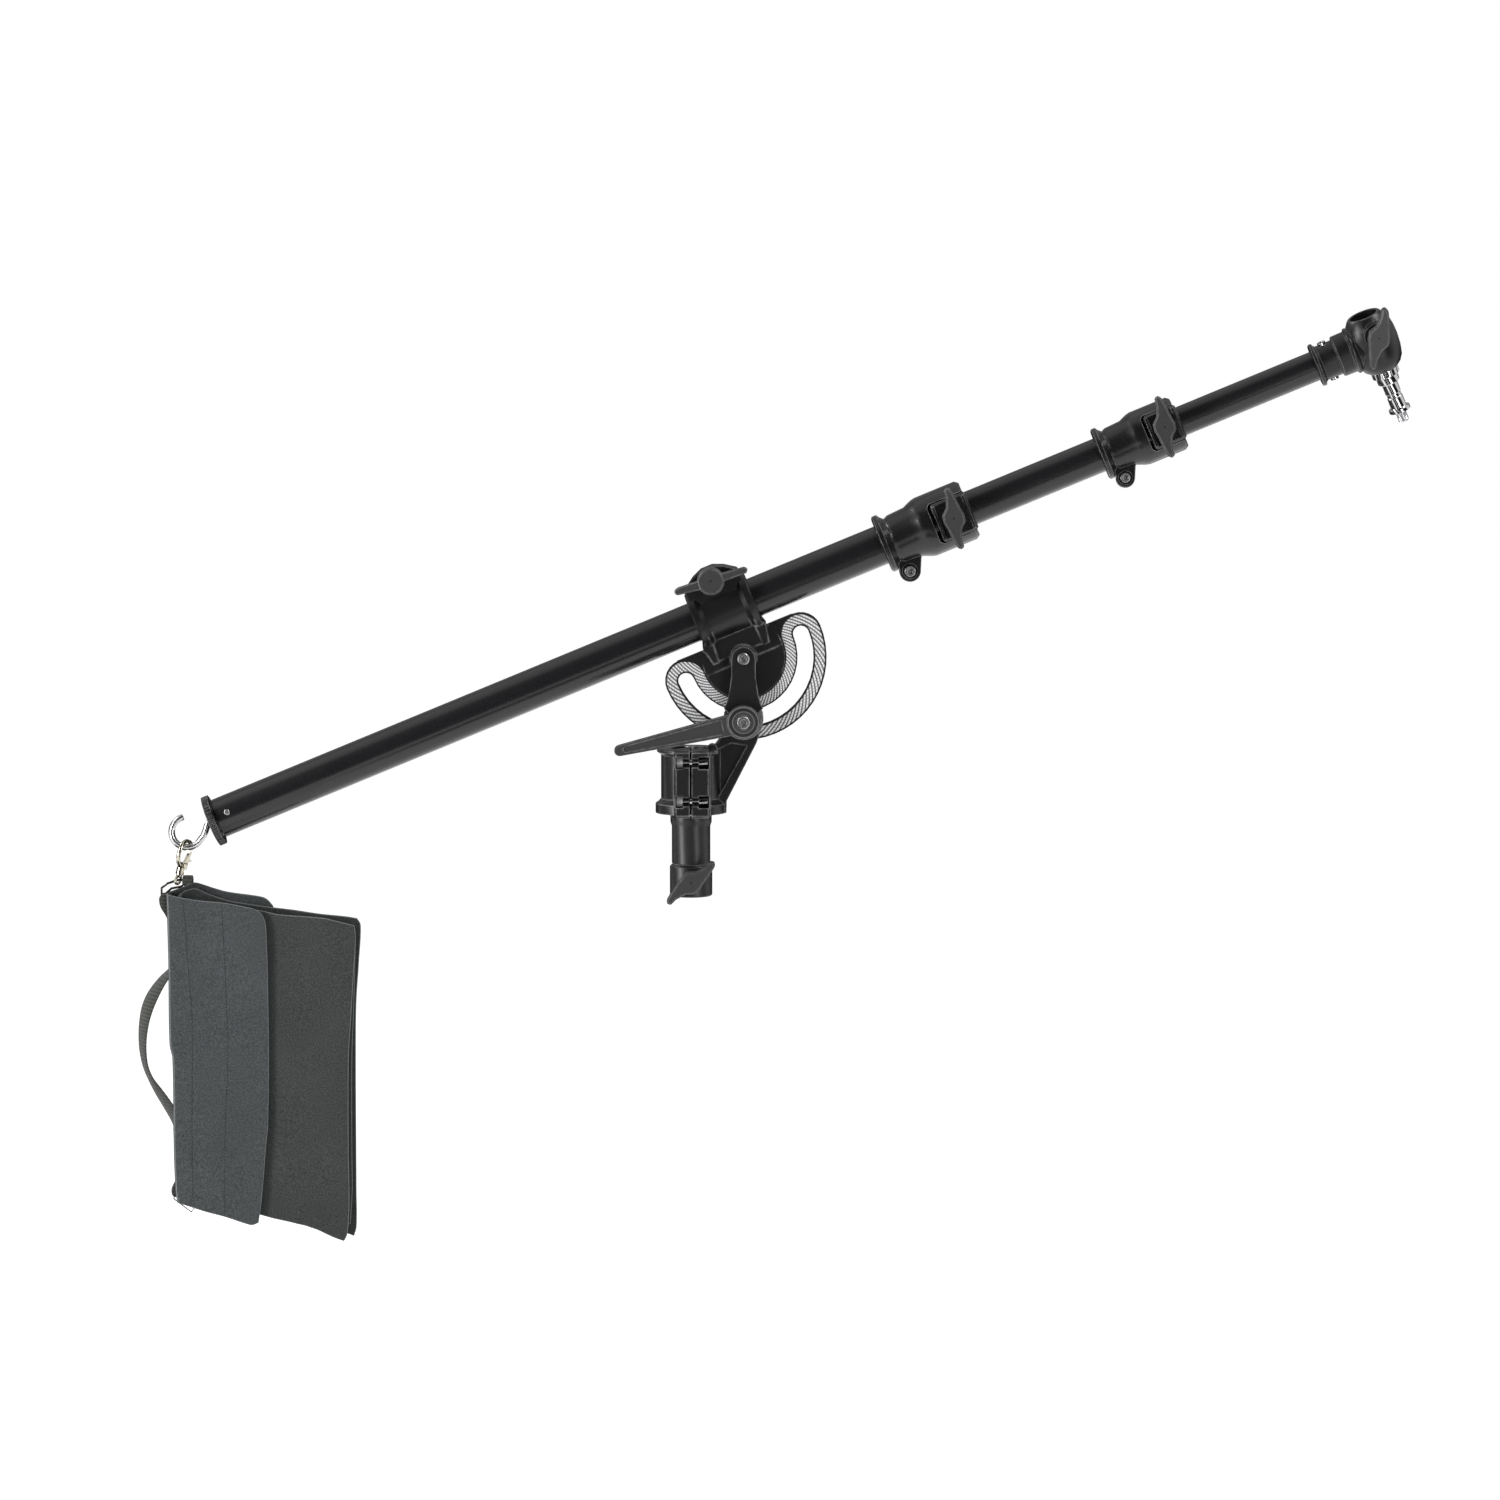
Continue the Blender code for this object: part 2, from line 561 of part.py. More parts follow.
def lever():
    core = [(0.0070, 0.0272), (0.0070, 0.0204), (STUD_HOLE, 0.0204), (STUD_HOLE, 0.0230), (0.0037, 0.0232)]
    core.append((0.0037, 0.0272))
    toothed_core = turned("lever_insert", LEVER, core, "steel", turn=FRONT, steps=12, ring=True)
    teeth = slab("insert_teeth", LEVER, toothed(0.0084, 0.0008, 12), 0.0268, 0.0208, holes=[circle(0.0062, 12)])
    fuse(toothed_core, teeth)
    hub = [
        (0.0106, 0.0400), (0.0125, 0.0392), (0.0152, 0.0392), (0.0165, 0.0380), (0.0165, 0.0228),
        (0.0150, 0.0207), (0.0089, 0.0207), (0.0089, 0.0274), (0.0039, 0.0274), (0.0039, 0.0294),
        (0.0072, 0.0294), (0.0072, 0.0400),
    ]
    handle = turned("lever_handle", LEVER, hub, "dark_grey", turn=FRONT, ring=True)
    arm = [(-0.0100, -ARM_ROOT), (-0.0100, ARM_ROOT)]
    arm += arc((-ARM_LENGTH + ARM_TIP, 0), ARM_TIP, 90, 270, 9)
    bar = slab("lever_arm", LEVER, arm, 0.0375, 0.0285, edge=0.0012)
    panel = [(-0.0215, -0.0072), (-0.0215, 0.0072)] + arc((-0.1200, 0), 0.0030, 90, 270, 5)
    fuse(handle, bar)
    keep = turned("hub_room", LEVER, [(0, 0.0391), (0.0090, 0.0391), (0.0090, 0.0200), (0, 0.0200)], turn=FRONT)
    cut(bar, keep)
    cut(handle, slab("lever_panel", LEVER, panel, 0.0420, 0.0362))
    head = [(0, 0.0424), (0.0058, 0.0424), (0.0067, 0.0414), (0.0067, 0.0391), (0.0033, 0.0391)]
    head += [(0.0033, 0.0180), (0, 0.0180)]
    screw = turned("lever_screw", LEVER, head, "chrome", turn=FRONT, steps=16)
    cut(screw, slab("lever_key", LEVER, hexagon(0.0060), 0.050, 0.0402))
    spring()


def spring():
    """The compression spring between the screw's head and the handle's shoulder, wound from wire."""
    turns, per_turn, radius, thick = 4, 9, 0.0052, 0.00055
    first, last = 0.0302, 0.0382
    count = turns * per_turn
    points = []
    for i in range(count + 1):
        angle = math.tau * i / per_turn
        height = first + (last - first) * i / count
        points.append(Vector((radius * math.cos(angle), -height, radius * math.sin(angle))))
    print(f"lever spring: {turns} turns, least gap {least_gap(points, per_turn, thick) * 1000:.2f} mm")
    wire("lever_spring", LEVER, points, thick, "steel")


def least_gap(points, per_turn, thick):
    """The least space between one turn of a coil and the rest of it, measured from point to point."""
    near = min(
        (second - first).length
        for i, first in enumerate(points)
        for second in points[i + per_turn // 2:]
    )
    return near - 2 * thick


# Outer section
def outer_section():
    far = COLLAR_1_START + 0.0435
    tube("outer_tube", OUTER_TUBE, TUBE_REAR, far)
    rim = slab("end_cap", BOOM, toothed(0.0260, 0.0008, 44), CAP_END + 0.0078, CAP_END + 0.0010, "satin_black",
               turn=ALONG)
    skirt = [(0.0178, -0.5300), (0.0178, -0.5510), (0.0140, -0.5510), (0.0140, -0.5300)]
    cup = turned("cap_skirt", BOOM, skirt, turn=ALONG, ring=True)
    dome = [(0, CAP_END + 0.0030), (0.0236, CAP_END + 0.0030), (0.0228, CAP_END + 0.0004), (0, CAP_END - 0.0004)]
    crown = turned("cap_crown", BOOM, dome, turn=ALONG)
    hole = rod("hook_hole", BOOM, (-0.5700, 0, 0), (-0.5400, 0, 0), 0.0037, sides=14)
    rivet_hole = rod("rivet_hole", BOOM, (-0.5355, -0.030, 0.004), (-0.5355, -0.010, 0.004), 0.0022, sides=10)
    cut(fuse(rim, cup, crown), hole, rivet_hole)
    cut(bpy.data.objects["outer_tube"], rivet_hole)
    rivet = make_frame("rivet_axis", (-0.5355, 0, 0.004), (0, 0, 0), BOOM)
    head = [(0, 0.0212), (0.0024, 0.0210), (0.0033, 0.0202), (0.0019, 0.0199), (0.0019, 0.0140), (0, 0.0140)]
    turned("cap_rivet", rivet, head, "steel", turn=FRONT, steps=10)
    hook()


def tube(name, radius, start, end):
    wall = [(radius, end), (radius, start), (radius - TUBE_WALL, start), (radius - TUBE_WALL, end)]
    return turned(name, BOOM, wall, "gloss_black", turn=ALONG, steps=28, ring=True)


HOOK_WIRE, LOOP_RADIUS = 0.0033, 0.0155
LOOP_CENTRE = (-0.5820, -0.0005)


def hook():
    """An open hook of round wire, held in the end cap by its nut."""
    path = [(-0.5385, -0.0002), (-0.5583, -0.0003), (-0.5612, -0.0024), (-0.5645, -0.0066), (-0.5682, -0.0104)]
    path = [(x, 0, z) for x, z in path]
    path += [(x, 0, z) for x, z in arc(LOOP_CENTRE, LOOP_RADIUS, -50, -278, 17)]
    wire("hook", BOOM, path, HOOK_WIRE, "chrome", resolution=2)
    slab("hook_nut", BOOM, hexagon(0.0110), -0.5425, -0.5488, "steel", turn=ALONG,
         holes=[circle(HOOK_WIRE + GAP, 12)])


# Telescoping collars
def collar(which, start, inner_tube, next_tube, scale, roll):
    """A collar that grips the end of one tube and brakes the next one with a pad and a T knob."""
    name = "collar_" + which
    axis = make_frame(name + "_axis", (start, 0, 0), (math.radians(roll), 0, 0), BOOM)
    grip, guide = inner_tube + GAP, next_tube + 0.00035
    shoulder = 0.0440
    s = scale

    def at(distance):
        return distance * s

    big = 0.031 * s
    profile = [
        (0, at(0.0945)), (0.0280 * s, at(0.0945)), (big, at(0.0905)), (big, at(0.0475)), (0.0298 * s, at(0.0425)),
        (0.0262 * s, at(0.0340)), (0.0252 * s, at(0.0160)), (0.0232 * s, at(0.0118)), (0.0262 * s, at(0.0085)),
        (0.0297 * s, at(0.0062)), (0.0297 * s, at(0.0015)), (0.0272 * s, 0), (0, 0),
    ]
    body = turned(name, axis, profile, "satin_black", turn=ALONG)
    ear_at = (0.0165 * s, -0.0345 * s)
    ear = arc(ear_at, 0.0108 * s, 150, 330, 11)
    ear += [(0.0345 * s, -0.0215 * s), (0.0345 * s, -0.0180), (0.0080 * s, -0.0180), (0.0080 * s, -0.0235 * s)]
    lug = slab(name + "_ear", axis, ear, 0.0095, -0.0095, edge=0.0012)
    fuse(body, lug)
    steps = [(0, 0.120), (guide, 0.120), (guide, shoulder), (grip, shoulder), (grip, -0.010), (0, -0.010)]
    bore = turned(name + "_bore", axis, steps, turn=ALONG)
    window = box(name + "_window", axis, (at(0.0558), -0.050, -0.0210 * s), (0.120, 0.0080 - next_tube, 0.0210 * s),
                 edge=0.003)
    slit = box(name + "_slit", axis, (-0.010, -0.0010, -0.060), (shoulder - 0.001, 0.0010, -0.010))
    screw_hole = rod(name + "_screw_hole", axis, (ear_at[0], -0.030, ear_at[1]), (ear_at[0], 0.030, ear_at[1]),
                     0.0033, sides=12)
    head_room = rod(name + "_head_room", axis, (ear_at[0], -0.030, ear_at[1]), (ear_at[0], -0.0065, ear_at[1]),
                    0.0070 * s + 0.0006, sides=14)
    cut(body, bore, window, slit, screw_hole, head_room)
    socket_screw(name + "_screw", axis, ear_at, 0.0069, -0.0093, 0.0060 * s, 0.0030)
    knob_at = 0.0770 * s
    brake_block("brake_block_" + which, axis, next_tube, s, knob_at)
    t_knob(name + "_knob", axis, (knob_at, 0), next_tube + 0.0140, next_tube + 0.0010, 0)


def brake_block(name, axis, tube_radius, s, knob_at):
    """The pad that the knob drives against the sliding tube: a saddle with a raised rib at each end."""
    start, end, half = 0.0590 * s, 0.0965 * s, 0.0200 * s
    front = tube_radius + 0.0100
    block = box(name, axis, (start, -front, -half), (end, -tube_radius + 0.0060, half), "satin_black", 0.0020)
    ribs = [
        box(name + "_rib", axis, (low, -front - 0.0018, -half + 0.0025), (low + 0.0032, -front + 0.002, half - 0.0025),
            edge=0.0006)
        for low in (start + 0.0006, end - 0.0050)
    ]
    boss = rod(name + "_boss", axis, (knob_at, -front - 0.0035, 0), (knob_at, -front + 0.002, 0), 0.0092)
    fuse(block, boss, *ribs)
    saddle = rod(name + "_saddle", axis, (0, 0, 0), (0.140, 0, 0), tube_radius + GAP, sides=28)
    hole = rod(name + "_hole", axis, (knob_at, -0.050, 0), (knob_at, 0, 0), KNOB_SCREW + 0.0004, sides=12)
    cut(block, saddle, hole)


def guide(name, tube_radius, outer_bore, rear):
    """The nylon bush at the rear of a sliding section, which runs in the bore of the section outside it."""
    inner = tube_radius - TUBE_WALL - GAP
    profile = [
        (inner, rear + 0.0120), (inner, rear - GAP), (outer_bore - GAP, rear - GAP),
        (outer_bore - GAP, rear - 0.0045), (inner - 0.0024, rear - 0.0045), (inner - 0.0024, rear + 0.0120),
    ]
    turned(name, BOOM, profile, "nylon", turn=ALONG, steps=16, ring=True)


def sections():
    tube("middle_tube", MIDDLE_TUBE, MIDDLE_REAR, COLLAR_2_START + 0.0435)
    guide("middle_guide", MIDDLE_TUBE, OUTER_TUBE - TUBE_WALL, MIDDLE_REAR)
    tube("inner_tube", INNER_TUBE, INNER_REAR, HEAD_START + 0.0130)
    guide("inner_guide", INNER_TUBE, MIDDLE_TUBE - TUBE_WALL, INNER_REAR)
    collar("1", COLLAR_1_START, OUTER_TUBE, MIDDLE_TUBE, 1.0, 0)
    collar("2", COLLAR_2_START, MIDDLE_TUBE, INNER_TUBE, 0.9, -6)


# Tip
HEAD_ROLL = math.radians(11)
HEAD = make_frame("head_axis", (HEAD_CENTRE, 0, 0), (HEAD_ROLL, 0, 0), BOOM)


def tip():
    grip = INNER_TUBE + GAP
    ring = [
        (0.0180, HEAD_START - GAP), (0.0180, 0.6432), (0.0196, 0.6415), (0.0220, 0.6405), (0.0220, 0.6375),
        (0.0205, TIP_COLLAR_START), (grip, TIP_COLLAR_START), (grip, HEAD_START - GAP),
    ]
    sleeve = turned("tip_collar", BOOM, ring, "satin_black", turn=ALONG, ring=True)
    for which, side in (("upper", 1), ("lower", -1)):
        at = -0.0487
        hole = rod("set_hole_" + which, HEAD, (at, 0, side * 0.010), (at, 0, side * 0.030), 0.0046, sides=12)
        cut(sleeve, hole)
        screw = rod("set_screw_" + which, HEAD, (at, 0, side * (grip + GAP)), (at, 0, side * 0.0203),
                    0.0043, "chrome", 12)
        key = rod("set_key_" + which, HEAD, (at, 0, side * 0.0180), (at, 0, side * 0.0220), 0.0021, sides=6)
        cut(screw, key)
    neck = [
        (0, 0.030), (0.0210, 0.030), (0.0212, -0.0190), (0.0230, -0.0205), (0.0238, -0.0225), (0.0236, -0.0240),
        (0.0212, -0.0255), (0.0210, -0.0380), (0.0200, -0.0390), (0, -0.0390),
    ]
    throat = turned("head_neck", HEAD, neck, turn=ALONG)
    keep = box("neck_keep", HEAD, (0, -0.040, -0.040), (0.050, 0.040, 0.040))
    cut(throat, keep)
    barrel = [
        (0, 0.0295), (0.0165, 0.0295), (0.0180, 0.0280), (0.0232, 0.0200), (0.0250, 0.0100), (0.0255, 0),
        (0.0246, -0.0120), (0.0228, -0.0205), (0.0190, -0.0265), (0.0150, -0.0297), (0, -0.0297),
    ]
    head = turned("socket_head", HEAD, barrel, "satin_black")
    front = rod("knob_boss", HEAD, (0.004, -0.0300, 0.0120), (0.004, 0, 0.0120), 0.0130)
    fuse(head, throat, front)
    bore = rod("head_bore", HEAD, (0, 0, -0.040), (0, 0, 0.040), SOCKET_BORE, sides=24)
    inner = rod("tube_bore", HEAD, (-0.050, 0, 0), (-0.0255, 0, 0), grip, sides=24)
    screw = rod("head_knob_hole", HEAD, (0.004, -0.050, 0.0120), (0.004, 0, 0.0120), 0.0044, sides=12)
    cut(head, bore, inner, screw)
    t_knob("head_knob", HEAD, (0.004, 0.0120), 0.0305, 0.0145, 24)
    spigot()


def spigot():
    """The stud that carries the lamp: a socket stem, a knurled ring, the 16 mm stud, its flange and thread."""
    knurl = slab("spigot_knurl", HEAD, toothed(0.0141, 0.0007, 20), -0.0304, -0.0366, turn=UPRIGHT)
    profile = [
        (0, 0.0060), (0.0128, 0.0060), (0.0138, 0.0050), (0.0138, -0.0302), (0.0128, -0.0306),
        (0.0128, -0.0372), (0.0112, -0.0376), (0.0112, -0.0440), (0.0080, -0.0458), (0.0080, -0.0560),
        (0.0072, -0.0568), (0.0072, -0.0600), (0.0080, -0.0608), (0.0080, -0.0716), (0.0110, -0.0726),
        (0.0110, -0.0760), (0.0047, -0.0760), (0.0047, -0.0870), (0.0038, -0.0880), (0, -0.0880),
    ]
    fuse(turned("spigot", HEAD, profile, "chrome", steps=20), knurl)


# Counterweight bag on its snap hook
LOOP = make_frame("hook_loop_axis", (LOOP_CENTRE[0], 0, LOOP_CENTRE[1]), (0, 0, 0), BOOM)
SNAP_TOP = Vector((-0.5042, 0, 0.0549))
LEAN = make_frame("snap_lean", SNAP_TOP, (0, math.radians(14), 0))
SNAP = make_frame("snap_axis", (0, 0, 0), (0, 0, math.radians(56)), LEAN)
BAG_CORNER = make_frame("bag_corner", (-0.523, 0, 0.0025))
BOW, BOW_WIRE = 0.0090, 0.0021


def snap_hook():
    """The snap: a bow over the hook's wire, a spine down to the barrel, and a sprung gate hinged in a fork."""
    bow = [(x, 0, z) for x, z in arc((0, -BOW), BOW, 0, 180, 9)]
    spine = [(-BOW, 0, -0.0160), (-0.0066, 0, -0.0220), (-0.0020, 0, -0.0262), (0, 0, -0.0290)]
    body = wire("snap_hook", SNAP, bow + spine, BOW_WIRE, "steel")
    barrel = rod("snap_barrel", SNAP, (0, 0, -0.0275), (0, 0, -0.0345), 0.0041, sides=16)
    fork = box("snap_fork", SNAP, (0.0000, -0.0034, -0.0292), (0.0066, 0.0034, -0.0225), edge=0.0008)
    gap = box("snap_fork_gap", SNAP, (-0.0010, -0.0017, -0.0282), (0.0100, 0.0017, -0.0200))
    pin = rod("snap_pin", SNAP, (0.0040, -0.0030, -0.0252), (0.0040, 0.0030, -0.0252), 0.0009, sides=10)
    bore = rod("snap_bore", SNAP, (0, 0, -0.0300), (0, 0, -0.0360), 0.0023, sides=12)
    cut(fuse(body, barrel, fork), gap, bore)
    fuse(body, pin)
    gate = arc((0.0040, -0.0252), 0.0024, 200, 350, 7)
    gate += [(0.0078, -0.0222), (0.0128, -0.0206), (0.0130, -0.0192), (0.0085, -0.0186)]
    gate += [(0.0102, -0.0112), (0.0070, -0.0112), (0.0020, -0.0236)]
    slab("snap_gate", SNAP, gate, 0.0014, -0.0014, "steel", holes=[circle(0.0012, 10, (0.0040, -0.0252))])
    stud = rod("snap_swivel", SNAP, (0, 0, -0.0304), (0, 0, -0.0372), 0.0020, "steel", 12)
    eye = wire("swivel_eye", SNAP, [(x, 0, z) for x, z in circle(0.0042, 12, (0, -0.0405))], 0.0014, closed=True)
    collar_ring = rod("swivel_neck", SNAP, (0, 0, -0.0348), (0, 0, -0.0366), 0.0030, sides=14)
    fuse(stud, collar_ring, eye)


def bag():
    flap_front = [
        (0.0000, 0.0000), (0.0330, -0.0060), (0.0640, -0.0090), (0.0900, -0.0160), (0.0975, -0.0295),
        (0.0985, -0.0690), (0.1006, -0.1610), (0.0970, -0.2370), (0.0920, -0.2830), (0.0885, -0.3280),
        (0.0820, -0.3350), (0.0550, -0.3280), (0.0230, -0.3180), (0.0080, -0.3120), (0.0063, -0.2370),
        (0.0024, -0.1610), (0.0010, -0.0690),
    ]
    flap_back = [
        (0.0000, 0.0000), (0.0120, 0.0060), (0.0260, 0.0095), (0.0580, 0.0000), (0.0990, -0.0050),
        (0.1045, -0.0110), (0.1040, -0.2000), (0.1000, -0.3230), (0.0550, -0.3200), (0.0080, -0.3120),
        (0.0063, -0.2370), (0.0024, -0.1610), (0.0010, -0.0690),
    ]
    spine = [
        (0.0004, -0.0006), (0.0200, -0.0040), (0.0210, -0.0690), (0.0224, -0.1610), (0.0263, -0.2370),
        (0.0275, -0.2950), (0.0080, -0.2960), (0.0066, -0.2370), (0.0027, -0.1610), (0.0013, -0.0690),
    ]
    front = slab("bag_flap", BAG_CORNER, flap_front, 0.0150, 0.0118, "canvas")
    back = slab("flap_back", BAG_CORNER, flap_back, -0.0118, -0.0150)
    fold = slab("flap_fold", BAG_CORNER, spine, 0.0145, -0.0145)
    fuse(front, back, fold)
    pouch_front = [
        (0.0300, -0.0120), (0.1040, -0.0140), (0.1600, -0.0235), (0.1860, -0.0310), (0.1870, -0.0330),
        (0.1810, -0.1300), (0.1790, -0.1910), (0.1780, -0.3130), (0.1768, -0.3440), (0.1740, -0.3520),
        (0.1640, -0.3500), (0.1460, -0.3410), (0.1210, -0.3335), (0.0910, -0.3260), (0.0320, -0.3080),
    ]
    pouch_back = [
        (0.0300, -0.0100), (0.1050, -0.0120), (0.1620, -0.0200), (0.1900, -0.0240), (0.1912, -0.0260),
        (0.1870, -0.1000), (0.1855, -0.1910), (0.1846, -0.3440), (0.1843, -0.3490), (0.1700, -0.3450),
        (0.1460, -0.3380), (0.0910, -0.3230), (0.0320, -0.3050),
    ]
    seam = [(0.0310, -0.0130), (0.0900, -0.0150), (0.0900, -0.3200), (0.0320, -0.3040)]
    pouch = slab("bag_pouch", BAG_CORNER, pouch_front, 0.0110, 0.0012, "canvas")
    rear = slab("pouch_back", BAG_CORNER, pouch_back, -0.0012, -0.0110)
    middle = slab("pouch_seam", BAG_CORNER, seam, 0.0060, -0.0060)
    fuse(pouch, rear, middle)
    bag_straps()


def bag_straps():
    handle = [
        (0.0002, -0.0800), (-0.0085, -0.0860), (-0.0170, -0.0985), (-0.0252, -0.1200), (-0.0285, -0.1420),
        (-0.0282, -0.1640), (-0.0215, -0.1900), (-0.0095, -0.2110), (-0.0010, -0.2250), (0.0020, -0.2360),
    ]
    shift = 0.0042
    points = [(x - shift, 0, z) for x, z in handle]
    strap("bag_handle", BAG_CORNER, points, 0.0250, 0.0024, [0] * len(points), "webbing")
    top = [
        (-0.0078, -0.0100), (-0.0075, 0.0050), (-0.0015, 0.0096), (0.0085, 0.0130), (0.0120, 0.0132),
        (0.0180, 0.0112), (0.0120, 0.0064), (0.0024, 0.0046), (-0.0042, -0.0012), (-0.0042, -0.0098),
    ]
    tab = [(-0.0100, -0.0010), (-0.0012, -0.0010), (-0.0006, -0.0140), (-0.0002, -0.0275), (-0.0040, -0.0205)]
    tab += [(-0.0085, -0.0145), (-0.0100, -0.0080)]
    side_tab = slab("side_tab", BAG_CORNER, tab, 0.0100, -0.0100, "webbing")
    tab = [(0.0130, 0.0095), (0.0130, 0.0150), (0.0160, 0.0160), (0.0200, 0.0150), (0.0240, 0.0122)]
    tab += [(0.0240, 0.0104), (0.0180, 0.0090)]
    top_tab = slab("top_tab", BAG_CORNER, tab, 0.0080, -0.0175, "webbing")
    drop = [(0.0135, 0.0110), (0.0235, 0.0110), (0.0240, -0.0200), (0.0140, -0.0200)]
    fuse(top_tab, slab("top_tab_drop", BAG_CORNER, drop, -0.0153, -0.0175))
    held_ring("bag_ring", top, 0.0013, side_tab, top_tab)
    bottom = [(0.0032, -0.3040), (0.0022, -0.3100), (0.0196, -0.3235), (0.0230, -0.3190), (0.0056, -0.3046)]
    tab = [(0.0070, -0.2880), (0.0050, -0.2900), (0.0002, -0.2985), (0.0010, -0.3050), (0.0040, -0.3076)]
    tab += [(0.0064, -0.3060), (0.0070, -0.2990)]
    bottom_tab = slab("bottom_tab", BAG_CORNER, tab, 0.0100, -0.0100, "webbing")
    held_ring("bottom_ring", bottom, 0.0007, bottom_tab)


def held_ring(name, path, radius, *tabs):
    """A bent wire ring, with room cut for it in the webbing tabs that hold it."""
    path = [(x, 0, z) for x, z in path]
    wire(name, BAG_CORNER, path, radius, "steel", closed=True)
    for tab in tabs:
        cut(tab, wire(tab.name + "_room", BAG_CORNER, path, radius + 0.0004, closed=True))


stand_socket()
base_bracket()
tilt_joint()
tilt_clamp()
clamp_knob()
lever()
outer_section()
sections()
tip()
snap_hook()
bag()
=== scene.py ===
# %% [markdown]
# # A telescopic boom arm with its counterweight bag
#
# The arm holds a lamp out over a film set. It is three black tubes that slide in each other, a clamp
# that tilts on a slotted plate, and an empty bag on the rear hook that is filled to balance the lamp.
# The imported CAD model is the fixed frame. This script gives it light, a camera, finishes and cloth.

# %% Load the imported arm
import math

import bmesh
import bpy
from mathutils import Matrix, Vector, noise


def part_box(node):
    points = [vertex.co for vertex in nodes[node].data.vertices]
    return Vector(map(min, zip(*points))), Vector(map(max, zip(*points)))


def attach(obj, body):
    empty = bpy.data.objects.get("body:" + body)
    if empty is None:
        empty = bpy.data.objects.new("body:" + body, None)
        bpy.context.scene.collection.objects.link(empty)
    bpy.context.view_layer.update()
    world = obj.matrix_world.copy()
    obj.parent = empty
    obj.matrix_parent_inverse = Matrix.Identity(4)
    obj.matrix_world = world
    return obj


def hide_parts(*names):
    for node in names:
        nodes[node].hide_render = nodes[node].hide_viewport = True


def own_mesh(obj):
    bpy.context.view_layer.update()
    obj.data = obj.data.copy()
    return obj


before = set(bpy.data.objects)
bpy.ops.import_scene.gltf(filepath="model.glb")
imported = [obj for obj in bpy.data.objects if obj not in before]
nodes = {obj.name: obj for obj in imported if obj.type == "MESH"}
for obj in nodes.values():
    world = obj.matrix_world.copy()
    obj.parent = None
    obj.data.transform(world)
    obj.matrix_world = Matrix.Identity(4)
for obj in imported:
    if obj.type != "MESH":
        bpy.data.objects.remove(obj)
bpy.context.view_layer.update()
scene = bpy.context.scene

# %% [markdown]
# ## Camera
#
# A long lens from far off keeps the tubes nearly parallel, as a catalogue picture does. Seven and a
# half metres away, a 180 mm lens takes in exactly one and a half metres. The camera looks down a little.

# %% Camera
MIDDLE = Vector((0.059, 0, 0.1465))
DISTANCE, LENS, LOOK_DOWN = 7.5, 180, math.radians(6)

camera = bpy.data.objects.new("camera", bpy.data.cameras.new("camera"))
camera.data.lens = LENS
camera.data.clip_end = 100
camera.location = MIDDLE + DISTANCE * Vector((0, -math.cos(LOOK_DOWN), math.sin(LOOK_DOWN)))
camera.rotation_euler = (math.pi / 2 - LOOK_DOWN, 0, 0)
scene.collection.objects.link(camera)
scene.camera = camera
scene.view_settings.view_transform = "Standard"
print("frame width at the arm:", round(DISTANCE * camera.data.sensor_width / LENS, 3), "m")

# %% [markdown]
# ## Shader sums in plain Python
#
# A mask on a real object follows simple rules, such as nearer than this and lower than that. Math
# nodes can say them, but a long tree of nodes is hard to read. So a wire is a socket that can be added,
# multiplied and compared, and an expression such as 1 - mask adds its Math nodes by itself. Every other
# node comes from one function, which takes its type, its settings, and the values or wires it gets.


# %% Wires
class Wire:
    """A socket that does maths."""

    def __init__(self, socket):
        self.socket = socket

    def sum(self, operation, first, second):
        node = self.socket.id_data.nodes.new("ShaderNodeMath")
        node.operation = operation
        plug(node.inputs[0], first)
        plug(node.inputs[1], second)
        return Wire(node.outputs[0])

    def __add__(self, other):
        return self.sum("ADD", self, other)

    def __sub__(self, other):
        return self.sum("SUBTRACT", self, other)

    def __rsub__(self, other):
        return self.sum("SUBTRACT", other, self)

    def __mul__(self, other):
        return self.sum("MULTIPLY", self, other)

    def __lt__(self, other):
        return self.sum("LESS_THAN", self, other)

    def __gt__(self, other):
        return self.sum("GREATER_THAN", self, other)

    def __abs__(self):
        return self.sum("ABSOLUTE", self, 0)

    def wave(self, pitch):
        """Rises from 0 to 1 and falls back once in every pitch."""
        return self.sum("PINGPONG", self, pitch / 2) * (2 / pitch)

    __radd__ = __add__
    __rmul__ = __mul__


def plug(socket, value):
    """Links a wire to a socket, or sets the socket's own value."""
    if isinstance(value, Wire):
        socket.id_data.links.new(value.socket, socket)
    else:
        socket.default_value = value


def add_node(tree, kind, settings=None, sockets=None):
    """Any node but Math: its type, its settings, then the values or wires of its sockets."""
    node = tree.nodes.new(kind)
    for name, value in (settings or {}).items():
        setattr(node, name, value)
    for name, value in (sockets or {}).items():
        plug(node.inputs[name], value)
    return node.outputs


print("wires have + - * < >, abs and wave")

# %% [markdown]
# ## A finish
#
# A finish is one material. Every one here is a Principled shader with a few masks, so a class holds
# what they share: places on the arm, distances, noise, masks, mixed colours, bumps and edge masks for
# painted highlights. A piece keeps its grain when a joint moves, as places are taken from the arm at rest.

# %% Finishes
# Sharp edges get a pale painted highlight once rounded and true normals part by more than this.
HIGHLIGHT_STARTS = 0.985


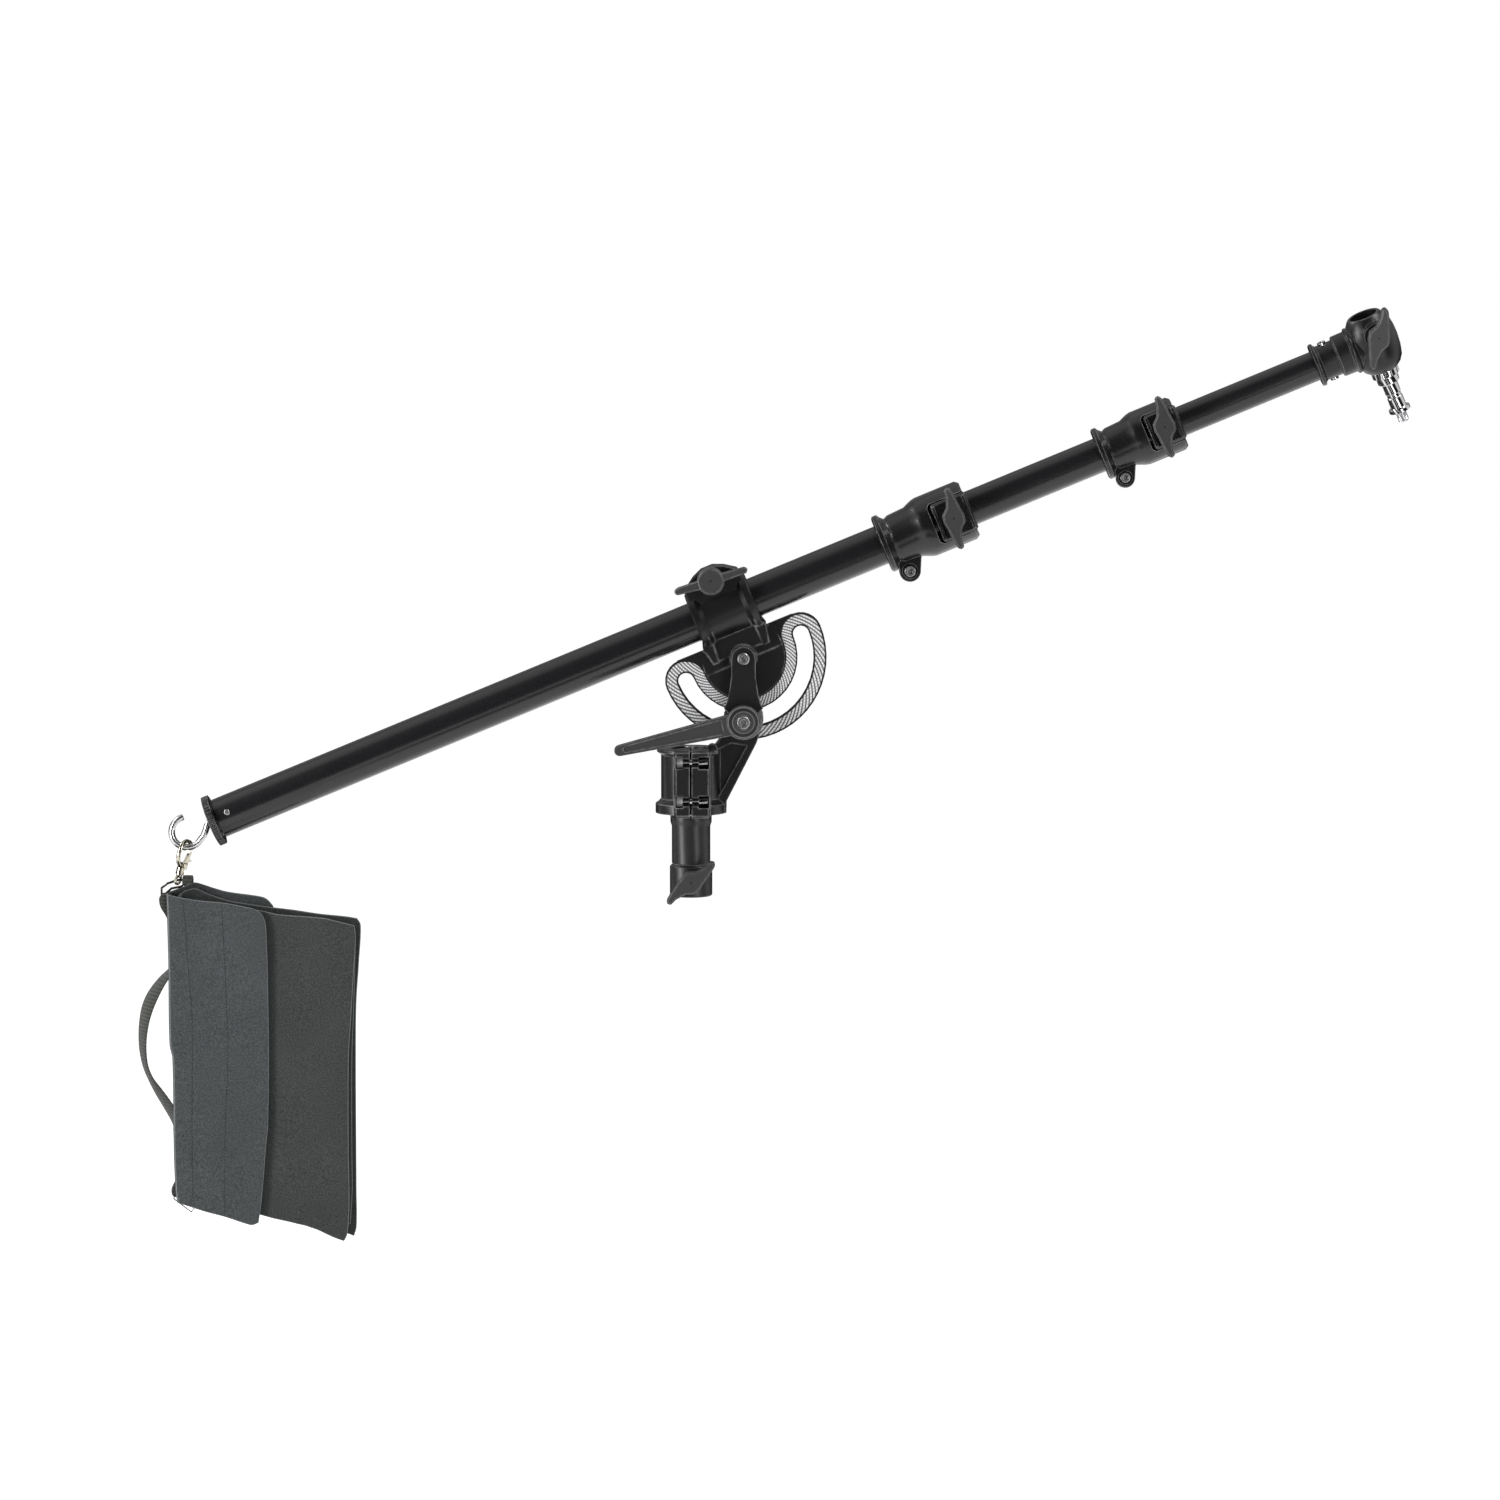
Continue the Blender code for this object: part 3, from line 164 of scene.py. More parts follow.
class Finish:
    """One material, with a Principled shader that starts from plain values."""

    def __init__(self, name, colour, roughness, metallic=0.0, **more):
        self.material = bpy.data.materials.new(name)
        self.material.use_nodes = True
        self.tree = self.material.node_tree
        self.shader = self.tree.nodes["Principled BSDF"]
        self.set(Base_Color=(*colour, 1), Roughness=roughness, Metallic=metallic, **more)

    def set(self, **values):
        for name, value in values.items():
            plug(self.shader.inputs[name.replace("_", " ")], value)

    def add(self, kind, settings=None, sockets=None, out=0):
        """A node of this material, as the wire of one output."""
        return Wire(add_node(self.tree, kind, settings, sockets)[out])

    def vector(self, operation, first, second=(0, 0, 0), out="Vector"):
        """A sum with one vector or two."""
        return self.add("ShaderNodeVectorMath", {"operation": operation}, {0: first, 1: second}, out)

    def place(self):
        """Where a point is on the arm at rest, in metres."""
        return self.add("ShaderNodeTexCoord", out="Object")

    def parts(self, vector):
        """The x, y and z of a vector."""
        return [Wire(socket) for socket in add_node(self.tree, "ShaderNodeSeparateXYZ", {}, {0: vector})]

    def measured_from(self, point):
        """The x, y and z of a place on the arm, counted from one point of it."""
        return self.parts(self.vector("SUBTRACT", self.place(), point))

    def distance(self, x, z):
        """How far x and z are from 0 in the plane of the picture."""
        return self.vector("LENGTH", self.add("ShaderNodeCombineXYZ", {}, {0: x, 2: z}), out="Value")

    def noise(self, size, detail=2.0, stretch=(1, 1, 1)):
        """Smooth random patches of about that size, in metres, between 0 and 1."""
        where = self.vector("MULTIPLY", self.place(), stretch)
        return self.add("ShaderNodeTexNoise", {}, {"Vector": where, "Scale": 1 / size, "Detail": detail})

    def ramp(self, value, low, high):
        """Turns a value into a mask that rises from 0 at low to 1 at high."""
        return self.add("ShaderNodeMapRange", {}, {0: value, 1: low, 2: high})

    def mix(self, mask, first, second):
        """The first colour where the mask is 0, and the second where it is 1."""
        first, second = (value if isinstance(value, Wire) else (*value, 1) for value in (first, second))
        return self.add("ShaderNodeMix", {"data_type": "RGBA"}, {0: mask, 6: first, 7: second}, out=2)

    def bump(self, height, depth):
        """Raises the surface by height times depth, in metres."""
        self.set(Normal=self.add("ShaderNodeBump", {}, {"Height": height, "Distance": depth}))

    def edge_highlight_mask(self, width, full=0.90):
        """A mask for sharp edges, where a rounded normal and the true one part, used to paint a pale
        highlight there.

        Their dot product falls from 1 on a flat face. The mask rises as it falls from HIGHLIGHT_STARTS to
        full.
        """
        rounded = self.add("ShaderNodeBevel", {"samples": 4}, {"Radius": width})
        true = self.add("ShaderNodeNewGeometry", out="Normal")
        return self.ramp(self.vector("DOT_PRODUCT", rounded, true, "Value"), HIGHLIGHT_STARTS, full)


# The printed angle is where the painted edge highlight starts.
print("edges start to look worn at", round(math.degrees(math.acos(HIGHLIGHT_STARTS)), 1), "degrees")

# %% [markdown]
# ## Floor and world
#
# The picture is a cut-out on white. A white room would do that, but it would light the object from all
# sides and wash it out. So the floor and the world show white to the camera and in reflections alone,
# which a Light Path node tells apart, while the light on the object stays gentle. The floor also takes
# real light, so it keeps a shadow.

# %% Floor and world
FLOOR_HEIGHT, FLOOR_REACH = -0.62, 60
FLOOR_GLOW, WORLD_LIGHT = 0.60, 0.50


def white_for_camera(tree, plain, glow):
    """Adds glow to a plain shader for the rays that the camera, metal and glass see."""
    seen = add_node(tree, "ShaderNodeLightPath")
    either = Wire(seen["Is Camera Ray"]) + Wire(seen["Is Glossy Ray"]) + Wire(seen["Is Transmission Ray"])
    light = add_node(tree, "ShaderNodeEmission", {}, {"Strength": either * glow})
    both = add_node(tree, "ShaderNodeAddShader", {}, {0: Wire(plain), 1: Wire(light[0])})
    return Wire(both[0])


def new_object(name, points, faces, *finishes):
    """An object made of points and faces, in one finish or more."""
    mesh = bpy.data.meshes.new(name)
    mesh.from_pydata(points, [], faces)
    for finish in finishes:
        mesh.materials.append(finish.material)
    obj = bpy.data.objects.new(name, mesh)
    scene.collection.objects.link(obj)
    return obj


def level(left, right, near, far, height):
    """The corners of a level sheet."""
    return [(left, near, height), (right, near, height), (right, far, height), (left, far, height)]


def panel(name, corners, finish):
    """A flat sheet that belongs to the studio."""
    obj = new_object(name, corners, [(0, 1, 2, 3)], finish)
    return obj


def studio_floor():
    paper = Finish("floor_paper", (0.80, 0.80, 0.80), 0.9, Specular_IOR_Level=0.0)
    output = paper.tree.nodes["Material Output"]
    plug(output.inputs[0], white_for_camera(paper.tree, paper.shader.outputs[0], FLOOR_GLOW))
    panel("floor", level(-FLOOR_REACH, FLOOR_REACH, -FLOOR_REACH, FLOOR_REACH, FLOOR_HEIGHT), paper)


def studio_world():
    world = bpy.data.worlds.new("studio")
    scene.world = world
    world.use_nodes = True
    tree = world.node_tree
    plain = tree.nodes["Background"]
    plain.inputs["Color"].default_value = (1, 1, 1, 1)
    plain.inputs["Strength"].default_value = WORLD_LIGHT
    plug(tree.nodes["World Output"].inputs[0], white_for_camera(tree, plain.outputs[0], 1 - WORLD_LIGHT))


studio_floor()
studio_world()
print("floor at", FLOOR_HEIGHT, "m")

# %% [markdown]
# ## Cards
#
# Black paint and chrome show what they reflect, and in an all-white room they look flat and pale. So,
# as in a real studio, cards from black to pale stand round the arm, hang over it and lie on the floor.
# They are set to show in reflections alone, and they block no light.

# %% Cards
CARD_FOOT, FLOOR_CARD_HEIGHT = FLOOR_HEIGHT + 0.010, FLOOR_HEIGHT + 0.008
WALL_DISTANCE = 3.3
ROOF_HEIGHT, ROOF_LEFT, ROOF_RIGHT = 3.7, -3.4, 0.9


def shade(name, glow):
    """A card's plain finish, which shows that bright in a reflection."""
    plain = {"Specular_IOR_Level": 0.0, "Emission_Color": (1, 1, 1, 1), "Emission_Strength": glow}
    return Finish(name, (0, 0, 0), 1.0, **plain)


def card(name, corners, finish):
    """A sheet that only reflections see."""
    piece = panel(name, corners, finish)
    piece.visible_camera = piece.visible_diffuse = piece.visible_shadow = piece.visible_transmission = False


def wall(name, turns, heights, finish):
    """A standing card between two directions, in degrees to the right of the camera."""
    ends = []
    for turn in map(math.radians, turns):
        ends.append(Vector((math.sin(turn), -math.cos(turn), 0)) * WALL_DISTANCE)
    low, high = (Vector((0, 0, height)) for height in heights)
    card(name, [ends[0] + low, ends[1] + low, ends[1] + high, ends[0] + high], finish)


BLACK, DARK = shade("black_card", 0.01), shade("dark_card", 0.06)
GREY, PALE = shade("grey_card", 0.34), shade("pale_card", 0.80)
WALLS = {
    "front": ((-40, 18), (CARD_FOOT, 4.2), BLACK),
    "right": ((46, 80), (CARD_FOOT, 1.7), BLACK),
    "left": ((-118, -74), (CARD_FOOT, 1.5), BLACK),
    "back_left": ((-180, -128), (CARD_FOOT, 0.75), BLACK),
    "back_right": ((112, 180), (CARD_FOOT, 0.75), BLACK),
    "back_top_left": ((-180, -120), (0.76, 3.6), GREY),
    "back_top_right": ((120, 180), (0.76, 3.6), GREY),
}
ROOFS = {"front": (-3.4, -2.3, BLACK), "middle": (-2.3, -1.2, GREY), "back": (-1.2, 3.4, PALE)}
FLOOR_CARDS = {
    "left": (-2.3, -1.2, -2.3, -1.2, BLACK),
    "left_back": (-2.3, -1.2, 0.8, 2.2, BLACK),
    "middle": (-0.15, 0.65, -1.75, -1.0, BLACK),
    "right": (0.35, 1.7, -3.2, -1.85, BLACK),
    "back": (-1.1, -0.5, 0.9, 2.6, BLACK),
    "side": (-1.2, -0.3, -0.6, 0.9, DARK),
}

for side, (turns, heights, finish) in WALLS.items():
    wall("wall_" + side, turns, heights, finish)
for side, (near, far, finish) in ROOFS.items():
    card("roof_" + side, level(ROOF_LEFT, ROOF_RIGHT, near, far, ROOF_HEIGHT), finish)
for side, (left, right, near, far, finish) in FLOOR_CARDS.items():
    card("floor_card_" + side, level(left, right, near, far, FLOOR_CARD_HEIGHT), finish)
print(len(WALLS), "wall cards,", len(ROOFS), "roof cards and", len(FLOOR_CARDS), "floor cards")

# %% [markdown]
# ## Lamps
#
# Two tall lamps stand in the gaps between the cards, so an upright round piece gets a thin highlight on
# each side. Three smaller ones light the top, the rim and the back. All are area lamps, because a point
# lamp gives a hard edge to the shadow.

# %% Lamps
AIM_X, AIM_HEIGHT, STRIP_AIM_HEIGHT = 0.05, 0.15, 0.35


def lamp(name, at, power, size, aim_height=AIM_HEIGHT):
    """A rectangular lamp that points at the arm's middle, at a height."""
    light = bpy.data.lights.new(name, "AREA")
    light.energy = power
    light.shape = "RECTANGLE"
    light.size, light.size_y = size
    obj = bpy.data.objects.new(name, light)
    obj.location = at
    obj.rotation_euler = (Vector((AIM_X, 0, aim_height)) - Vector(at)).to_track_quat("-Z", "Y").to_euler()
    scene.collection.objects.link(obj)


lamp("left_strip", (-2.75, -1.75, 0.35), 85, (0.75, 1.9), STRIP_AIM_HEIGHT)
lamp("right_strip", (1.88, -2.68, 0.35), 28, (0.36, 1.9), STRIP_AIM_HEIGHT)
lamp("top_light", (1.9, -0.3, 2.9), 30, (1.2, 0.5))
lamp("rim_light", (-2.5, 0.6, 2.0), 32, (0.7, 0.7))
lamp("back_light", (1.6, 2.7, 1.5), 20, (1.0, 1.0))
print(len(bpy.data.lights), "lamps")

# %% [markdown]
# ## Dressing a CAD piece
#
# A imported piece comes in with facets. A weld, a small bevel and an edge split are modifiers, so the
# mesh itself stays as it was, while its round faces read as round and its edges catch the light.
# Weighted normals come last, so that a wide flat face isn't shaded by the narrow ones beside it.

# %% Dress
WELD_GAP = 0.00002
FINE_EDGE = 0.0002


def dress(finish, names, edge=0.0005, sharp=38):
    """Gives pieces a finish, bevels of a width, and facets where they turn by more than sharp degrees."""
    for name in names.split():
        obj = nodes[name]
        obj.data.materials.clear()
        obj.data.materials.append(finish.material)
        if "custom_normal" in obj.data.attributes:
            obj.data.attributes.remove(obj.data.attributes["custom_normal"])
        obj.data.shade_smooth()
        weld = obj.modifiers.new("weld", "WELD")
        weld.merge_threshold = WELD_GAP
        if edge:
            bevel = obj.modifiers.new("edges", "BEVEL")
            bevel.width = edge
            bevel.segments = 2
            bevel.limit_method = "ANGLE"
            bevel.angle_limit = math.radians(sharp)
        split = obj.modifiers.new("facets", "EDGE_SPLIT")
        split.split_angle = math.radians(sharp)
        flats = obj.modifiers.new("flats", "WEIGHTED_NORMAL")
        flats.keep_sharp = True
    print(finish.material.name, "on", len(names.split()), "pieces")


print("faces as packed:", sum(len(obj.data.polygons) for obj in nodes.values()))

# %% [markdown]
# ## Black paint
#
# The tubes have gloss paint with a faint orange peel. The castings have a coarser powder coat, which
# sand-cast grain shows through, and their edges carry a pale painted highlight in patches, most on the
# bracket. The collars are the glossiest of them, and the post is an even satin.

# %% Tubes and castings
TUBE_COLOUR = (0.009, 0.009, 0.010)
CASTING_COLOUR = (0.007, 0.007, 0.0075)
POST_COLOUR = (0.009, 0.009, 0.0095)
EDGE_HIGHLIGHT_COLOUR = (0.20, 0.20, 0.205)
CAST_GRAIN, POST_GRAIN, EDGE_HIGHLIGHT_PATCH = 0.0009, 0.0012, 0.010


def tube_paint():
    coat = {"Coat_Weight": 0.15, "Coat_Roughness": 0.10}
    paint = Finish("tube_paint", TUBE_COLOUR, 0.26, Specular_IOR_Level=0.38, **coat)
    paint.set(Roughness=0.20 + 0.10 * paint.noise(0.03))
    paint.bump(paint.noise(0.003), 0.000006)
    return paint


def casting_paint(name, edges, full, shine, smoothest):
    """Powder coat: the width of its painted edge highlight, where that highlight is full, its shine and
    least roughness.
    """
    paint = Finish(name, CASTING_COLOUR, 0.35, Specular_IOR_Level=shine)
    grain = paint.noise(CAST_GRAIN, 3.0)
    # Pale patches along the sharp edges are a painted highlight.
    edge_highlight = paint.edge_highlight_mask(edges, full) * paint.ramp(paint.noise(EDGE_HIGHLIGHT_PATCH), 0.28, 0.55)
    paint.set(Base_Color=paint.mix(edge_highlight, CASTING_COLOUR, EDGE_HIGHLIGHT_COLOUR))
    paint.set(Roughness=smoothest + 0.16 * grain)
    paint.bump(grain, 0.00005)
    return paint


def post_paint():
    paint = Finish("post_paint", POST_COLOUR, 0.26, Specular_IOR_Level=0.38)
    grain = paint.noise(POST_GRAIN, 3.0)
    # The post's sharp edges get a fainter painted highlight.
    edge_highlight = paint.edge_highlight_mask(0.0012)
    paint.set(Base_Color=paint.mix(edge_highlight * 0.6, POST_COLOUR, EDGE_HIGHLIGHT_COLOUR))
    paint.set(Roughness=0.31 + 0.10 * grain)
    paint.bump(grain, 0.00002)
    return paint


CASTINGS = casting_paint("casting_paint", 0.0021, 0.92, 0.43, 0.24)
FINE_CASTINGS = casting_paint("fine_casting_paint", 0.0013, 0.90, 0.34, 0.25)
COLLARS = casting_paint("collar_paint", 0.0013, 0.90, 0.44, 0.17)
dress(tube_paint(), "outer_tube middle_tube inner_tube", 0.0003)
dress(CASTINGS, "base_bracket link_plate_front link_plate_rear")
dress(FINE_CASTINGS, "end_cap tip_collar socket_head")
dress(COLLARS, "collar_1 collar_2 brake_block_1 brake_block_2")
dress(post_paint(), "stand_socket")

# %% [markdown]
# ## The quadrant's bare band
#
# The clamp is one casting, but the slotted half moon below the pivot is ground bare and knurled, so
# that the bolt grips it. A mask finds it: it is thinner than the painted plate, and lies past the
# plate's half disc. Distances from the pivot are taken in the clamp's own tilted axes. Paint stays on a
# narrow rim along the slot and the outer edge, so the mask also needs the distance from the slot's
# middle line: a half circle round the pivot, with round ends. Two sets of slanting waves give the
# knurl, one cut deeper than the other. Its grooves are bumped in and also painted nearly black, as
# painted shade.

# %% Clamp with its knurled band
PIVOT = Vector((0.0525, 0, 0.240))
BOOM_TILT = math.radians(22.5)
SLOT_RADIUS, BAND_INNER, BAND_TOP, BAND_HALF_DEPTH = 0.062, 0.0415, 0.0212, 0.0047
SLOT_RIM, OUTER_RIM = (0.0093, 0.0100), (0.0195, 0.0188)
DEEP_PITCH, SHALLOW_PITCH, SHALLOWER = 0.0037, 0.0031, 0.34
KNURL_LEAN, GROOVE_SIDES = 0.75, (0.30, 0.66)


def clamp_paint():
    paint = Finish("clamp_paint", CASTING_COLOUR, 0.35, Specular_IOR_Level=0.34)
    turned = paint.add(
        "ShaderNodeMapping",
        {"vector_type": "TEXTURE"},
        {"Vector": paint.place(), "Location": PIVOT, "Rotation": (0, -BOOM_TILT, 0)},
    )
    x, y, z = paint.parts(turned)
    reach = paint.distance(x, z)
    above = z > 0
    past_end = paint.distance(abs(x) - SLOT_RADIUS, z)
    off_slot = abs(reach - SLOT_RADIUS) * (1 - above) + past_end * above
    bare = (reach > BAND_INNER) * (abs(y) < BAND_HALF_DEPTH) * (z < BAND_TOP)
    bare = bare * paint.ramp(off_slot, *SLOT_RIM) * paint.ramp(off_slot, *OUTER_RIM)
    along = z.sum("ARCTAN2", z, x) * SLOT_RADIUS
    deep = (reach + along * KNURL_LEAN).wave(DEEP_PITCH)
    shallow = (reach * -1 + along * KNURL_LEAN).wave(SHALLOW_PITCH) + SHALLOWER
    groove_and_shade = 1 - paint.ramp(deep.sum("MINIMUM", deep, shallow), *GROOVE_SIDES)
    grain = paint.noise(CAST_GRAIN, 3.0)
    metal = paint.mix(paint.noise(0.004), (0.62, 0.62, 0.63), (0.86, 0.86, 0.87))
    # The knurl's grooves are painted nearly black: painted shade, beside the bump below.
    metal = paint.mix(groove_and_shade * 0.90, metal, (0.035, 0.035, 0.038))
    # The painted plate's sharp edges get a painted highlight, as on the other castings.
    edge_highlight = paint.edge_highlight_mask(0.0028, 0.93) * paint.ramp(paint.noise(EDGE_HIGHLIGHT_PATCH), 0.30, 0.60)
    painted = paint.mix(edge_highlight * (reach < BAND_INNER), CASTING_COLOUR, EDGE_HIGHLIGHT_COLOUR)
    paint.set(Base_Color=paint.mix(bare, painted, metal))
    paint.set(Metallic=bare * 0.25, Roughness=0.26 + 0.14 * grain + bare * 0.14)
    paint.bump(grain * 0.3 - groove_and_shade * bare, 0.00015)
    return paint


dress(clamp_paint(), "tilt_clamp")

# %% [markdown]
# ## Moulded handles
#
# The T knobs and the lever are glass-filled plastic: matt, slightly mottled, with a pale painted
# highlight in patches along the edges. Each knob has a small moulding dimple at its centre, and the
# lever's hub has a groove between two rings of painted highlight. The dimples and the groove are painted
# nearly black, as painted shade. These marks are too shallow to be worth modelling, so masks and a bump
# draw them, at distances from each knob's middle and from the lever's axis.

# %% Plastic
KNOBS = "socket_knob clamp_knob collar_1_knob collar_2_knob head_knob"
DIMPLE_RADIUS = 0.0011
LEVER_AXIS = PIVOT - Vector((0, 0, SLOT_RADIUS))
HUB_RADIUS, HUB_FACE, HUB_HIGHLIGHT_RINGS, RING_FADE = 0.0162, -0.0370, (0.0109, 0.0150), (0.0006, 0.0002)
GROOVE_INNER, GROOVE_OUTER = (0.0112, 0.0115), (0.0145, 0.0140)


def outside_dimple_shade(plastic):
    """A mask that is 0 in the dimple of each knob, which is painted dark as shade, and 1 elsewhere."""
    raised_unshaded = 1.0
    for knob in KNOBS.split():
        low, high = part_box(knob)
        x, y, z = plastic.measured_from((Vector(low) + Vector(high)) / 2)
        raised_unshaded = raised_unshaded * (1 - (plastic.distance(x, z) < DIMPLE_RADIUS) * (y < 0))
    return raised_unshaded


def moulded_plastic():
    plastic = Finish("moulded_plastic", (0.030, 0.030, 0.031), 0.5, Specular_IOR_Level=0.4)
    mottle = plastic.noise(0.0015, 4.0)
    # Pale patches along the knobs' sharp edges are a painted highlight.
    edge_highlight = plastic.edge_highlight_mask(0.0015) * plastic.ramp(plastic.noise(0.006), 0.25, 0.55)
    body = plastic.mix(mottle, (0.017, 0.017, 0.018), (0.037, 0.037, 0.039))
    body = plastic.mix(edge_highlight * 0.8, body, (0.24, 0.24, 0.24))
    x, y, z = plastic.measured_from(LEVER_AXIS)
    away = plastic.distance(x, z)
    hub = (away < HUB_RADIUS) * (y < HUB_FACE)
    groove_and_shade = hub * plastic.ramp(away, *GROOVE_INNER) * plastic.ramp(away, *GROOVE_OUTER)
    # Two thin pale rings on the hub are painted highlights.
    for ring in HUB_HIGHLIGHT_RINGS:
        pale = hub * plastic.ramp(abs(away - ring), *RING_FADE)
        body = plastic.mix(pale * 0.7, body, (0.16, 0.16, 0.16))
    # The dimples and the hub's groove are bumped in and painted nearly black, as painted shade.
    raised_unshaded = outside_dimple_shade(plastic) * (1 - groove_and_shade * 0.9)
    plastic.set(Base_Color=plastic.mix(raised_unshaded, (0.003, 0.003, 0.003), body))
    plastic.set(Roughness=0.40 + 0.15 * mottle)
    plastic.bump(mottle * 0.06 + raised_unshaded, 0.0008)
    return plastic


dress(moulded_plastic(), KNOBS + " lever_handle", 0.0004)

# %% [markdown]
# ## Bright metal
#
# The pinch bolts, the set screws and the stud are chromed, and the plating of the hook is a little
# duller. The pinch nuts are zinc, the snap is nickel, a warmer white, and the other screws and nuts are
# steel. Polished metal shows little but the cards and lamps round it, so each one is just a colour and
# a roughness that varies a little. Pieces of round wire get no bevel. The washer, the bush, the liner
# and the guides are nylon.

# %% Metal and nylon
def polished(name, colour, roughness, grain=0.05, metallic=1.0):
    """Metal whose roughness varies by grain from place to place."""
    metal = Finish(name, colour, roughness, metallic)
    metal.set(Roughness=roughness + grain * metal.noise(0.004))
    return metal


CHROME = polished("chrome", (0.54, 0.54, 0.55), 0.10)
PLATING = polished("plating", (0.52, 0.52, 0.53), 0.19)
STEEL = polished("steel", (0.34, 0.34, 0.345), 0.28, 0.12)
ZINC = polished("zinc", (0.46, 0.46, 0.47), 0.32, 0.15, 0.4)
NICKEL = polished("nickel", (0.46, 0.43, 0.35), 0.10)
BLACK_NICKEL = polished("black_nickel", (0.060, 0.060, 0.052), 0.22)
BRASS = polished("brass", (0.60, 0.44, 0.18), 0.3)
NYLON = Finish("nylon", (0.55, 0.54, 0.50), 0.55)
NYLON.bump(NYLON.noise(0.002), 0.00003)
dress(CHROME, "pinch_bolt_upper pinch_bolt_lower set_screw_upper set_screw_lower spigot", FINE_EDGE)
dress(ZINC, "pinch_nut_upper pinch_nut_lower", FINE_EDGE)
dress(STEEL, "spindle_screw friction_disc_front friction_disc_rear pivot_bolt pivot_nut", FINE_EDGE)
dress(STEEL, "lever_stud lever_insert lever_screw clamp_nut cap_rivet hook_nut", FINE_EDGE)
dress(STEEL, "collar_1_screw collar_2_screw", FINE_EDGE)
dress(NYLON, "thrust_washer slot_bush clamp_liner middle_guide inner_guide", FINE_EDGE)
dress(BRASS, "socket_pad", 0.0001)
dress(PLATING, "hook", edge=0, sharp=70)
dress(NICKEL, "snap_hook", edge=0, sharp=60)
dress(NICKEL, "snap_gate snap_swivel", edge=0)
dress(STEEL, "bottom_ring", edge=0, sharp=60)
dress(BLACK_NICKEL, "bag_ring", edge=0, sharp=60)

# %% [markdown]
# ## Cloth and webbing
#
# The bag is heavy woven nylon. Its twill shows as a fine slanting grain with pale flecks, dusty where
# it has rubbed, and every cut edge has a paler rim, a painted highlight. Its straps are ribbed webbing,
# darker and greener.

# %% Cloth finishes
TWILL_PITCH, CROSS_PITCH = 0.0017, 0.0011
RIB_PITCH, YARN_PITCH = 0.0036, 0.0012


def bag_cloth(name, dark, pale):
    cloth = Finish(name, dark, 0.9, Sheen_Weight=0.15, Sheen_Roughness=0.5, Specular_IOR_Level=0.2)
    x, y, z = cloth.parts(cloth.place())
    twill = (x + y + z).wave(TWILL_PITCH) * (x + y - z).wave(CROSS_PITCH)
    patches = cloth.noise(0.05, 4.0)
    flecks = cloth.noise(0.0015, 1.0)
    mottle = patches * 0.25 + cloth.ramp(flecks, 0.30, 0.72) * 0.50 + twill * 0.25
    cloth.set(Base_Color=cloth.mix(mottle, dark, pale))
    wrinkles = cloth.noise(0.035, 2.0, (1, 1, 0.35))
    cloth.bump(twill * 0.10 + flecks * 0.10 + wrinkles * 2.4, 0.0006)
    return cloth


# A paler finish for the rounded rims along the cut edges: a painted highlight.
def hem_highlight():
    edge = Finish("hem_highlight", (0.075, 0.080, 0.082), 0.9, Specular_IOR_Level=0.2)
    flecks = edge.noise(0.0016, 2.0)
    edge.set(Base_Color=edge.mix(flecks, (0.060, 0.066, 0.067), (0.215, 0.225, 0.228)))
    edge.bump(flecks, 0.0002)
    return edge


def strap_webbing():
    sheen = {"Sheen_Weight": 0.15, "Specular_IOR_Level": 0.2}
    webbing = Finish("strap_webbing", (0.022, 0.024, 0.020), 0.85, **sheen)
    x, y, z = webbing.parts(webbing.place())
    weave = z.wave(RIB_PITCH) * 0.7 + (x + y).wave(YARN_PITCH) * 0.3
    webbing.set(Base_Color=webbing.mix(weave, (0.012, 0.014, 0.011), (0.050, 0.054, 0.047)))
    webbing.bump(weave, 0.0007)
    return webbing


def seam_thread():
    finish = Finish("thread", (0.016, 0.019, 0.020), 0.8)
    finish.set(Base_Color=finish.mix(finish.noise(0.002), (0.004, 0.005, 0.006), (0.014, 0.016, 0.018)))
    return finish


FLAP_CLOTH = bag_cloth("flap_cloth", (0.0185, 0.0206, 0.0216), (0.0850, 0.0925, 0.0955))
POUCH_CLOTH = bag_cloth("pouch_cloth", (0.0142, 0.0158, 0.0154), (0.0620, 0.0668, 0.0656))
HEM_HIGHLIGHT = hem_highlight()
WEBBING = strap_webbing()
THREAD = seam_thread()
soft = (FLAP_CLOTH, POUCH_CLOTH, HEM_HIGHLIGHT, WEBBING, THREAD)
print("soft finishes:", [finish.material.name for finish in soft])

# %% [markdown]
# ## Folded cloth
#
# Each half of the bag is one cloth that folds round its left side to a second panel behind it. A Coons
# patch fills a panel between its four edges, which are smooth curves through a few points. The points
# are in millimetres from the bag's top corner. This way a few measured points give the whole outline.

# %% Edges and patches
MM = 0.001
BAG_CORNER = Vector((-0.523, 0, 0.0025))
LEFT_EDGE = [
    (0, 0), (0.6, -30), (1.3, -71), (1.9, -152), (4.6, -166), (5.3, -261), (6.8, -302), (8.5, -312.5),
]


